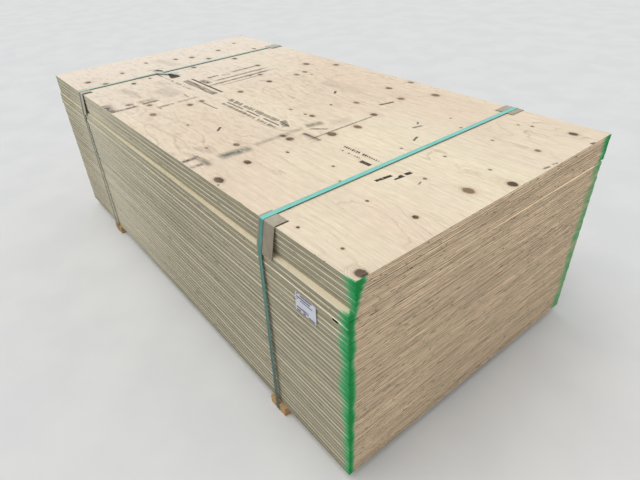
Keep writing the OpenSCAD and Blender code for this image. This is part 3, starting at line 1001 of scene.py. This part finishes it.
def sheet_tones(node, seed, points, above, end, thick):
    """Lightness of every point: the sheet's own, by chance or listed where a sheet shows bright.

    The top ply of the void's sheet is paler. On the near end the top ply of the ledge's sheet carries a
    painted highlight for the lit ledge above it, which grows brighter towards the back.
    """
    by_hand = {VOID_SHEET: 0.04, LEDGE_SHEET: -0.02, TOP_SHEET: 0.06}
    by_chance = np.random.default_rng(seed).uniform(-0.08, 0.06)
    tones = np.full(len(points), by_hand.get(node, by_chance))
    top_ply = above > thick - OUTER_PLY - 0.1 * MM
    # Painted highlight: the ledge sheet's top ply on the near end stands in for the lit ledge
    if node == LEDGE_SHEET:
        at_end = points[:, 0] > end - 3 * MM
        tones += np.where(top_ply & at_end, 0.45 + 1.5 * np.clip((points[:, 1] + 0.5) / 1.1, 0, 1), 0)
    if node == VOID_SHEET:
        tones[top_ply] += 0.3
    return tones


def make_sheet(node, number, settings, paint, materials):
    """One sheet: a band of plies round its edge, closed by its two faces.

    Rows run down the edge and columns round it; each point is the outline's place less the relief of its
    ply along the outward way. Only the top sheet's upper face is a grid. Material 0 is the sawn edge, 1 a
    covered face with its rim and 2 the top face.
    """
    turn = UPPER_TURN if node.startswith("upper_") else 0.0
    low, high = solid_box(node, turn)
    middle, half, thick = (low + high)[:2] / 2, (high - low)[:2] / 2, high[2] - low[2]
    is_top, has_void = node == TOP_SHEET, node == VOID_SHEET
    levels = VOID_LEVELS if has_void else LEVELS
    void_at = 2 * half[0] - VOID_FROM_END
    walls = void_at + np.array([-1, -1, 1, 1]) * VOID_WIDTH / 2 + np.array([-1, 0, 0, 1]) * 0.05 * MM
    place, way, x, y = outline(half, settings, 1 if is_top else 4, walls if has_void else ())
    flat = place * half
    around = len(flat)
    run = run_round(flat)
    on_end = (np.abs(way[:, 0]) > 0.5) & (np.abs(way[:, 1]) < 0.5)
    depth = ply_relief(run[:-1], on_end.astype(int), levels, settings, settings.seed * 50 + number)
    on_front, beyond = way[:, 1] < -0.5, flat[:, 0] + half[0] - void_at
    if has_void:
        depth[1:3, on_front & (np.abs(beyond) < VOID_WIDTH / 2 + 1e-6)] = VOID_DEPTH
    if is_top:
        depth[0] += 3 * MM * hole(flat, (5 * MM, 6 * MM))
    rows = edge_rows(depth, levels, settings.arris, thick)
    heights = [high[2] - down for down, _ in rows]
    band = [flat - way * inward[:, None] for _, inward in rows]
    ring = place * (half - RIM)
    if not is_top:
        band, heights = [ring, *band], [high[2], *heights]
    band, heights = [*band, ring], [*heights, low[2]]
    points = np.concatenate([np.column_stack([line + middle, np.full(around, height)])
                             for line, height in zip(band, heights)])
    above = np.repeat(np.array(heights) - low[2], around)
    quads = grid_quads(len(band), around)
    band_faces = len(quads)
    caps = [end_caps(len(band), around)[1]]
    face = None
    if is_top:
        face, grid = top_face(x, y, middle, half, high[2], len(points))
        points, quads = np.concatenate([points, face]), np.concatenate([quads, grid])
        above = np.concatenate([above, np.full(len(face), thick)])
    else:
        caps.append(np.arange(around))
    name = node.replace("_sheet_", "_ply_sheet_")
    piece = mesh_piece(name, turned(points, turn), quads, caps, [node], materials)
    kinds = np.zeros(len(quads) + len(caps), np.int32)
    kinds[band_faces - around:] = 1
    kinds[band_faces:len(quads)] = 2
    if not is_top:
        kinds[:around] = 1
    piece.data.polygons.foreach_set("material_index", kinds)
    start, after = np.tile(run[:-1], len(band) - 1), np.tile(run[1:], len(band) - 1)
    corners = np.concatenate([quads.ravel(), *caps])
    edge = np.stack([points[corners, 0], above[corners]], 1)
    edge[:band_faces * 4, 0] = np.stack([start, start, after, after], 1).ravel() + 7.7 * number
    put_uv(piece, "edge", edge)
    sunk = np.zeros(len(points))
    if has_void:
        sunk = np.concatenate([np.zeros(around), *[inward for _, inward in rows], np.zeros(around)])
        down = thick - above
        splinter = (down > levels[0]) & (down < levels[1])
        splinter &= np.tile(on_front & (beyond > VOID_WIDTH * 0.6), len(band))
        sunk = np.where(sunk > VOID_DEPTH / 2, sunk, np.where(splinter, -MM, 0))
    put_value(piece, "sunk", sunk)
    tones = sheet_tones(node, settings.seed + number, points, above, middle[0] + half[0], thick)
    put_value(piece, "sheet_tone", tones)
    reach = corner_reach(place, half, way, low[2], number, paint)
    values = sheet_paint(reach, len(band), face, middle, half, paint)
    put_value(piece, "paint", np.clip(values, UNPAINTED, 2.5))
    shift = grain_push(points, middle) if is_top else np.full(len(points), 0.37 * number)
    put_value(piece, "grain_shift", shift)
    if is_top:
        top_face_maps(piece, points, corners, quads, caps, middle)
    return piece


def top_face_maps(piece, points, corners, quads, caps, middle):
    """Maps of the top face: the offset from the nearest knot in knot radii, and the maps of the marks."""
    sizes = np.concatenate([np.full(len(quads), 4), [len(c) for c in caps]])
    starts = np.concatenate([[0], np.cumsum(sizes)[:-1]])
    centres = np.add.reduceat(points[corners], starts, axis=0) / sizes[:, None]
    offset = ((centres[:, None, :2] - middle) / MM - KNOTS[None, :, :2]) / KNOTS[None, :, 2:]
    away = np.linalg.norm(offset, axis=2)
    nearest = away.argmin(1)
    far = np.repeat(away.min(1) > 7, sizes)
    knot = KNOTS[np.repeat(nearest, sizes)]
    own = ((points[corners, :2] - middle) / MM - knot[:, :2]) / knot[:, 2:]
    put_uv(piece, "knots", np.where(far[:, None], 9.0, own))
    for name, marks in (("ink_dirt_and_shadow", INK_DIRT_AND_SHADOWS), ("scuff", SCUFFS), ("smear", SMEARS)):
        face_maps(piece, middle, marks, name, points[corners], sizes, centres)


# Straps and guards


def carried_band(path, normal, side, width, thickness, closed, round_off=0.3):
    """A flat band carried along a path: a rounded oblong section set across the path at every point.

    A section point is path + width share times side + thickness share times normal, and the rows of
    sections are joined; an open band is closed by a cap at each end. Gives points, faces, caps, the run
    along the path and the place across it.
    """
    inset = thickness * round_off
    across = np.array([-width / 2, -width / 2 + inset, width / 2 - inset, width / 2,
                       width / 2, width / 2 - inset, -width / 2 + inset, -width / 2])
    up = np.array([thickness / 2 - inset, thickness / 2, thickness / 2, thickness / 2 - inset,
                   -thickness / 2 + inset, -thickness / 2, -thickness / 2, -thickness / 2 + inset])
    points = path[:, None] + across[None, :, None] * side[:, None] + up[None, :, None] * normal[:, None]
    count, section = points.shape[:2]
    caps = [] if closed else end_caps(count, section)
    return points.reshape(-1, 3), grid_quads(count, section, closed), caps, run_round(path), across


def band_map(count, run, across, caps, closed):
    """The band's own map, for each face corner: metres along its run and metres across it."""
    section = len(across)
    rows = count if closed else count - 1
    along = np.stack([run[:rows], run[1:rows + 1], run[1:rows + 1], run[:rows]], 1)
    over = np.stack([across, across, np.roll(across, -1), np.roll(across, -1)], 1)
    body = np.stack([np.repeat(along[:, None], section, 1), np.repeat(over[None], rows, 0)], -1)
    ends = [np.stack([np.full(section, value), across[::turn]], 1)
            for value, turn in ((0, 1), (run[rows], -1))]
    return np.concatenate([body.reshape(-1, 2), *(ends if caps else [])])


# Just above the straps on top of the stack, and under the lap that lies on the far one
STRAP_TOP = solid_box("near_strap")[1][2] + 0.1 * MM


def strap_path(node, settings):
    """The strap's middle line: its solid's convex outline across the stack, moved in by half its thickness.

    Long straight runs are split evenly, and each point's outward way is at right angles to its neighbours.
    """
    places = solid_points(node)
    places = np.unique(places[places[:, 2] < STRAP_TOP, 1:].round(6), axis=0)
    hull = places[geometry.convex_hull_2d([Vector(p) for p in places])]
    if np.cross(hull[1] - hull[0], hull[2] - hull[1]) < 0:
        hull = hull[::-1]
    parts = []
    for start, end in zip(hull, np.roll(hull, -1, axis=0)):
        pieces = max(1, math.ceil(np.linalg.norm(end - start) / (14 * MM)))
        parts.append(start + (end - start) * (np.arange(pieces) / pieces)[:, None])
    line = np.concatenate(parts)
    tangent = np.roll(line, -1, axis=0) - np.roll(line, 1, axis=0)
    tangent /= np.linalg.norm(tangent, axis=1)[:, None]
    normal = np.stack([tangent[:, 1], -tangent[:, 0]], 1)
    return line - normal * settings.thickness / 2, normal


def strap_parts(node, x, settings):
    """Bands of one strap: the closed loop, and on the far one the lap, its crease and the sprung tail.

    The lap ends and the tail starts on the slanting crease: a section point's place along the band is moved
    by its place across times the crease's slope. The tail rises as an arc of the tail radius.
    """
    line, normal = strap_path(node, settings)
    count = len(line)
    path = np.column_stack([np.full(count, x), line])
    bands = [(path, np.column_stack([np.zeros(count), normal]), np.tile([1.0, 0, 0], (count, 1)), True)]
    joint = solid_points(node)
    joint = joint[joint[:, 2] > STRAP_TOP]
    if len(joint):
        top = path[:, 2].max() + settings.thickness / 2
        turn = settings.tail_turn
        slope = 1 / math.tan(turn / 2)
        fold = slope * settings.width / 2
        start = joint[:, 1].min()
        rows = 14
        y = np.linspace(start, start + settings.lap + fold, rows)
        lap = np.column_stack([np.full(rows, x), y, np.full(rows, top + settings.thickness / 2)])
        up, side = np.tile([0, 0, 1.0], (rows, 1)), np.tile([1.0, 0, 0], (rows, 1))
        bands.append((lap, up, side, False, slope, -1))
        reach = settings.tail / settings.tail_radius
        angle = np.concatenate([[-fold / settings.tail_radius], np.linspace(0, reach, 18)])
        way = np.array([math.sin(turn), math.cos(turn), 0])
        over = np.array([math.cos(turn), -math.sin(turn), 0])
        place = np.where(angle < 0, angle, np.sin(angle)) * settings.tail_radius + fold
        rise = np.where(angle < 0, 0, 1 - np.cos(angle)) * settings.tail_radius
        origin = np.array([x, start + settings.lap + fold, top + 1.5 * settings.thickness])
        tail = origin + place[:, None] * way + rise[:, None] * (0, 0, 1)
        climb = np.clip(angle, 0, None)[:, None]
        up = np.cos(climb) * (0, 0, 1) - np.sin(climb) * way
        bands.append((tail, up, np.tile(over, (len(tail), 1)), False, slope, 1))
    return bands


def make_strap(name, node, material, settings):
    """One strap as a single mesh of its bands, with one map of all of them."""
    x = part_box(node)[0].x + settings.width / 2
    all_points, all_quads, all_caps, maps, count = [], [], [], [], 0
    for path, normal, side, closed, *crease in strap_parts(node, x, settings):
        points, quads, caps, run, across = carried_band(path, normal, side, settings.width,
                                                        settings.thickness, closed)
        if crease:
            slope, end = crease
            shift = across * slope
            way = np.cross(side[0], normal[0])
            way = way / np.linalg.norm(way)
            if way @ (path[-1] - path[0]) < 0:
                way = -way
            grid = points.reshape(len(path), len(across), 3)
            grid[-1 if end < 0 else 0] += shift[:, None] * way
            points = grid.reshape(-1, 3)
        quads, caps, flipped = faced_out(quads, caps, points, normal, len(across))
        band = band_map(len(path), run, across, caps, closed)
        if flipped:
            body = band[:len(quads) * 4].reshape(-1, 4, 2)[:, ::-1].reshape(-1, 2)
            band = np.concatenate([body, band[len(quads) * 4:]])
        all_points.append(points)
        all_quads.append(quads + count)
        all_caps += [c + count for c in caps]
        maps.append((band[:len(quads) * 4], band[len(quads) * 4:]))
        count += len(points)
    piece = mesh_piece(name, np.concatenate(all_points), np.concatenate(all_quads), all_caps, [node],
                       [material])
    put_uv(piece, "strap", np.concatenate([m[0] for m in maps] + [m[1] for m in maps]))
    return piece


def guard_path(low, high, side, settings):
    """The middle line of a guard across the stack, from the box of its solid: top leg, bend and side leg.

    The point outside both faces of the covered edge at one distance is the edge plus the two outward ways
    times distance / (1 + their product). A front guard leans out: its depth in the box is
    top leg + side leg sin(lean) + thickness cos(lean).
    """
    if side < 0:
        top_leg, side_leg = settings.front_top, settings.front_side
        depth = high[1] - low[1] - top_leg
        lean = (math.asin(depth / math.hypot(side_leg, settings.thickness))
                - math.atan2(settings.thickness, side_leg))
        inner_y = high[1] - top_leg
    else:
        top_leg = side_leg = settings.back_leg
        lean = 0.0
        inner_y = low[1] + top_leg
    edge = np.array([inner_y - side * SEAT * math.cos(lean) / (1 + math.sin(lean)),
                     high[2] - SEAT - settings.thickness])
    top_way = np.array([0.0, 1.0])
    leg_normal = np.array([side * math.cos(lean), math.sin(lean)])
    leg_way = np.array([side * math.sin(lean), -math.cos(lean)])
    thick, bend = settings.thickness, settings.bend
    diagonal = (top_way + leg_normal) / (1 + top_way @ leg_normal)
    inner = edge + diagonal * SEAT
    centre = edge + diagonal * (SEAT + thick - bend)
    turn = math.pi / 2 - lean
    angle = math.pi / 2 - turn * np.linspace(0, 1, 9)
    arc = centre + (bend - thick / 2) * np.stack([side * np.cos(angle), np.sin(angle)], 1)
    tip = inner - (side * top_leg, 0) + top_way * thick / 2
    foot = inner + side_leg * leg_way + leg_normal * thick / 2
    top_run = tip + (arc[0] - tip) * np.linspace(0, 1, 12)[:-1, None]
    side_run = arc[-1] + (foot - arc[-1]) * np.linspace(0, 1, 20)[1:, None]
    line = np.concatenate([top_run, arc, side_run])
    tangent = np.gradient(line, axis=0)
    tangent /= np.linalg.norm(tangent, axis=1)[:, None]
    normal = np.stack([-tangent[:, 1], tangent[:, 0]], 1) * (-side)
    return line, normal


def make_guard(name, node, side, material, settings):
    """One guard: a board carried along its bent middle line, across which it is split into narrow columns.

    Its faces dent inwards a little, by depth times (1 + wave) / 2, and it thins at its two long edges.
    """
    low, high = solid_box(node, UPPER_TURN)
    line, normal = guard_path(low, high, side, settings)
    width = high[0] - low[0]
    path = np.column_stack([np.full(len(line), (low[0] + high[0]) / 2), line])
    up = np.column_stack([np.zeros(len(line)), normal])
    columns = 25
    share = np.linspace(-1, 1, columns)
    half = settings.thickness / 2
    rounding = half * (1 - np.clip((np.abs(share) - 0.975) / 0.025, 0, 1) * 0.35)
    grid = []
    for sign in (1, -1):
        dent = 0.25 * MM * (1 + wavy(np.arange(len(line))[:, None] * 0.9 + share[None] * 4, 31 + sign, 9)) / 2
        away = sign * (rounding[None] - dent)
        grid.append(path[:, None] + share[None, :, None] * (width / 2, 0, 0) + away[..., None] * up[:, None])
    upper, under = grid
    points = np.concatenate([upper, under[:, ::-1]], 1).reshape(-1, 3)
    section = 2 * columns
    across = np.concatenate([share, share[::-1]]) * width / 2
    quads, caps = grid_quads(len(line), section), end_caps(len(line), section)
    quads, caps, _ = faced_out(quads, caps, points, up, section)
    piece = mesh_piece(name, turned(points, UPPER_TURN), quads, caps, [node], [material])
    corners = np.concatenate([quads.ravel(), *caps])
    run = np.concatenate([[0], np.cumsum(np.linalg.norm(np.diff(line, axis=0), axis=1))])
    places = np.stack([np.repeat(run, section), np.tile(across, len(line))], 1)
    put_uv(piece, "guard", places[corners])
    return piece


# Bearers and label


def make_bearer(name, node, material, settings):
    """A sawn bearer: its grooved section carried along Y, with rounded edges and a rough skin.

    The section is an oblong whose corners are quarter rounds, with the strap's groove under it; each point
    moves inwards by the roughness times (1 + wave) / 2, and the two end sections are a little narrower.
    """
    low, high = (np.array(c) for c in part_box(node))
    middle = (low[0] + high[0]) / 2
    half_w, top = (high[0] - low[0]) / 2, high[2]
    r, groove, groove_half = settings.edge, 1.8 * MM, 11.5 * MM

    def corner(quarters, x, z):
        """A quarter round of the edge's radius, from a whole number of quarter turns."""
        turn = (np.linspace(0, 1, 4) + quarters) * math.pi / 2
        return np.stack([np.cos(turn), np.sin(turn)], 1) * r + (x, z)

    def sides(start, end, count):
        """The points between the two ends of a straight run."""
        return np.linspace(start, end, count)[1:-1]

    lower_right, upper_right = corner(3, half_w - r, r), corner(0, half_w - r, top - r)
    upper_left, lower_left = corner(1, -half_w + r, top - r), corner(2, -half_w + r, r)
    section = np.concatenate([
        lower_right, sides(lower_right[-1], upper_right[0], 9), upper_right,
        sides(upper_right[-1], upper_left[0], 18), upper_left,
        sides(upper_left[-1], lower_left[0], 9), lower_left, sides(lower_left[-1], (-groove_half, 0), 7),
        [(-groove_half, 0), (-groove_half, groove)], sides((-groove_half, groove), (groove_half, groove), 5),
        [(groove_half, groove), (groove_half, 0)], sides((groove_half, 0), lower_right[0], 7)])
    rows, count = 63, len(section)
    y = np.linspace(low[1], high[1], rows)
    centre = np.array([0, top / 2])
    wave = wavy(np.arange(count)[None] * 0.11 + y[:, None] * 9, 71, 1.1)
    rough = 0.5 * MM * (1 + np.clip(wave, -1, 1)) / 2 * (section[:, 1] > 3 * MM)
    inward = (centre - section) / np.linalg.norm(centre - section, axis=1)[:, None]
    grid = section[None] + inward[None] * rough[..., None]
    narrow = np.ones((rows, 1, 2))
    narrow[[0, -1], :, 0] = 0.98
    grid = centre + (grid - centre) * narrow
    points = np.stack([grid[..., 0] + middle, np.repeat(y[:, None], count, 1), grid[..., 1]], -1)
    points = points.reshape(-1, 3)
    return mesh_piece(name, points, grid_quads(rows, count), end_caps(rows, count), [node],
                      [material])


def make_label(name, node, material, settings):
    """The label: two sheets of points a paper's thickness apart, whose lower corners curl off the stack.

    A point stands off by the curl times (distance from the middle)^4 (1 - height)^3, plus a slow wave.
    """
    low, high = (np.array(c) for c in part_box(node))
    columns, rows = 25, 19
    sheet = columns * rows
    u, v = np.meshgrid(np.linspace(0, 1, columns), np.linspace(0, 1, rows), indexing="ij")
    stand = settings.curl * (np.abs(2 * u - 1) ** 4) * (1 - v) ** 3
    stand += 0.25 * MM * (1 + np.sin(9 * u + 5 * v)) / 2
    x, z = low[0] + u * (high[0] - low[0]), low[2] + v * (high[2] - low[2])
    points = np.concatenate([np.stack([x, y - stand, z], -1).reshape(-1, 3) for y in (low[1], high[1])])
    index = np.arange(sheet).reshape(columns, rows)
    front = cells(index)
    rim = np.concatenate([index[:, 0], index[-1, 1:], index[-2::-1, -1], index[0, -2:0:-1]])
    after = np.roll(rim, -1)
    walls = np.stack([rim, rim + sheet, after + sheet, after], 1)
    quads = np.concatenate([front, front[:, ::-1] + sheet, walls])
    piece = mesh_piece(name, points, quads, (), [node], [material])
    corners = quads.ravel() % sheet
    put_uv(piece, "label", np.stack([u.ravel()[corners], v.ravel()[corners]], 1))
    return piece


# Floor, light and camera


def make_floor(scene, settings):
    """A level square floor just under the stack, pale and even."""
    size, down = 30.0, -MM
    mesh = bpy.data.meshes.new("floor")
    mesh.from_pydata([(-size, -size, down), (size, -size, down), (size, size, down), (-size, size, down)], [],
                     [(0, 1, 2, 3)])
    floor = bpy.data.objects.new("floor", mesh)
    scene.collection.objects.link(floor)
    f = Finish("Plain pale floor")
    mottle = f.spread(f.noise(f.place(), 3.0, 4.0), 0.4, 0.6)
    mesh.materials.append(f.finish(f.mix(mottle, settings.floor, tone(222, 222, 221)), 0.9, 0.1))


def light_stage(scene, settings):
    """An even sky that looks pale to the camera and in glossy plastic, and one broad lamp high up."""
    scene.world = bpy.data.worlds.new("Even sky")
    scene.world.use_nodes = True
    scene.world.node_tree.nodes.clear()
    sky = Nodes(scene.world.node_tree)
    light = sky.node("Background", [tone(250, 252, 255), settings.sky])
    seen = sky.node("Background", [tone(240, 240, 240), 1.0])
    shown = sky.most(*(sky.node("LightPath", (), ray) for ray in ("Is Camera Ray", "Is Glossy Ray")))
    sky.made("OutputWorld", [sky.node("MixShader", [shown, light, seen])])
    lamp = bpy.data.objects.new("Soft light from above", bpy.data.lights.new("Soft light from above", "SUN"))
    lamp.data.energy = settings.lamp
    lamp.data.angle = math.radians(50)
    lamp.rotation_euler = (math.radians(14), math.radians(-12), 0)
    scene.collection.objects.link(lamp)


def place_camera(scene, settings):
    """The camera at the photograph's place, turned about Z, raised, and rolled about its line of sight."""
    lens = bpy.data.cameras.new("Photograph's view")
    lens.lens, lens.sensor_width = settings.lens, 36.0
    lens.shift_x, lens.shift_y = 0.0225, 0.0008
    camera = bpy.data.objects.new("Photograph's view", lens)
    turn, rise, roll = math.radians(54.06), math.radians(34.44), math.radians(-3.63)
    back = Vector((math.sin(turn) * math.cos(rise), -math.cos(turn) * math.cos(rise), math.sin(rise)))
    right = Vector((0, 0, 1)).cross(back).normalized()
    up = back.cross(right)
    across = right * math.cos(roll) + up * math.sin(roll)
    upright = -right * math.sin(roll) + up * math.cos(roll)
    camera.matrix_world = (Matrix.Translation((1.8658, -1.1941, 1.5411))
                           @ Matrix((across, upright, back)).transposed().to_4x4())
    scene.collection.objects.link(camera)
    scene.camera = camera


# Operators


class PLYWOOD_OT_sheets(bpy.types.Operator):
    """Make every plywood sheet with its plies, chips, core void, knots and corner paint"""

    bl_idname = "plywood.sheets"
    bl_label = "Plywood Sheets"

    def execute(self, context):
        scene = context.scene
        sheets, paint = scene.plywood_sheets, scene.plywood_paint
        materials = [sawn_edge(sheets, paint), covered_veneer(sheets, paint)]
        top = [*materials, top_veneer(sheets, paint)]
        names = [f"lower_sheet_{k + 1}" for k in range(LOWER_COUNT)]
        names += [f"upper_sheet_{k + 1}" for k in range(UPPER_COUNT)]
        for number, node in enumerate(names):
            make_sheet(node, number, sheets, paint, top if node == TOP_SHEET else materials)
        return {"FINISHED"}


class PLYWOOD_OT_straps(bpy.types.Operator):
    """Make the two straps, the far one with its lapped joint and sprung tail"""

    bl_idname = "plywood.straps"
    bl_label = "Straps"

    def execute(self, context):
        settings = context.scene.plywood_straps
        # Each strap's top colour is painted light and its two side colours painted shade, the lower one near
        # the floor
        near = embossed_plastic("Embossed strap plastic", (120, 214, 200), ((16, 58, 40), (66, 136, 120)))
        far = embossed_plastic("Pale far strap plastic", (186, 212, 196), ((96, 96, 80), (112, 120, 104)))
        make_strap("near_strap_band", "near_strap", near, settings)
        make_strap("far_strap_band", "far_strap", far, settings)
        return {"FINISHED"}


class PLYWOOD_OT_guards(bpy.types.Operator):
    """Make the four bent edge guards"""

    bl_idname = "plywood.guards"
    bl_label = "Edge Guards"

    def execute(self, context):
        settings = context.scene.plywood_guards
        board = pressed_board(settings)
        for end in ("near", "far"):
            make_guard(f"{end}_front_board", f"{end}_front_guard", -1, board, settings)
            make_guard(f"{end}_back_board", f"{end}_back_guard", 1, board, settings)
        return {"FINISHED"}


class PLYWOOD_OT_bearers(bpy.types.Operator):
    """Make the two sawn bearers"""

    bl_idname = "plywood.bearers"
    bl_label = "Bearers"

    def execute(self, context):
        settings = context.scene.plywood_bearers
        wood = sawn_bearer(settings)
        make_bearer("near_sawn_bearer", "near_bearer", wood, settings)
        make_bearer("far_sawn_bearer", "far_bearer", wood, settings)
        return {"FINISHED"}


class PLYWOOD_OT_label(bpy.types.Operator):
    """Make the plain paper label"""

    bl_idname = "plywood.label"
    bl_label = "Paper Label"

    def execute(self, context):
        settings = context.scene.plywood_label
        make_label("paper_label", "label", label_paper(settings), settings)
        return {"FINISHED"}


class PLYWOOD_OT_stage(bpy.types.Operator):
    """Make the pale floor, the soft studio light and the camera at the photograph's angle"""

    bl_idname = "plywood.stage"
    bl_label = "Floor, Light and Camera"

    def execute(self, context):
        scene, settings = context.scene, context.scene.plywood_stage
        make_floor(scene, settings)
        light_stage(scene, settings)
        place_camera(scene, settings)
        scene.view_settings.view_transform = "Standard"
        return {"FINISHED"}


OPERATORS = (PLYWOOD_OT_stage, PLYWOOD_OT_sheets, PLYWOOD_OT_guards, PLYWOOD_OT_straps,
             PLYWOOD_OT_bearers, PLYWOOD_OT_label)


class PLYWOOD_PT_panel(bpy.types.Panel):
    """The stack's pieces, each with its button"""

    bl_label = "Bound Plywood Stack"
    bl_space_type = "VIEW_3D"
    bl_region_type = "UI"
    bl_category = "Plywood"

    def draw(self, context):
        for operator in OPERATORS:
            self.layout.operator(operator.bl_idname)


def register():
    for group in (*SETTINGS.values(), *OPERATORS, PLYWOOD_PT_panel):
        bpy.utils.register_class(group)
    for name, group in SETTINGS.items():
        setattr(bpy.types.Scene, name, PointerProperty(type=group))


def unregister():
    for name in SETTINGS:
        delattr(bpy.types.Scene, name)
    for group in (PLYWOOD_PT_panel, *reversed(OPERATORS), *reversed(list(SETTINGS.values()))):
        bpy.utils.unregister_class(group)


def main():
    """Makes the whole stack."""
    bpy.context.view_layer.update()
    register()
    bpy.ops.plywood.stage()
    bpy.ops.plywood.sheets()
    bpy.ops.plywood.guards()
    bpy.ops.plywood.straps()
    bpy.ops.plywood.bearers()
    bpy.ops.plywood.label()


if __name__ == "__main__":
    main()
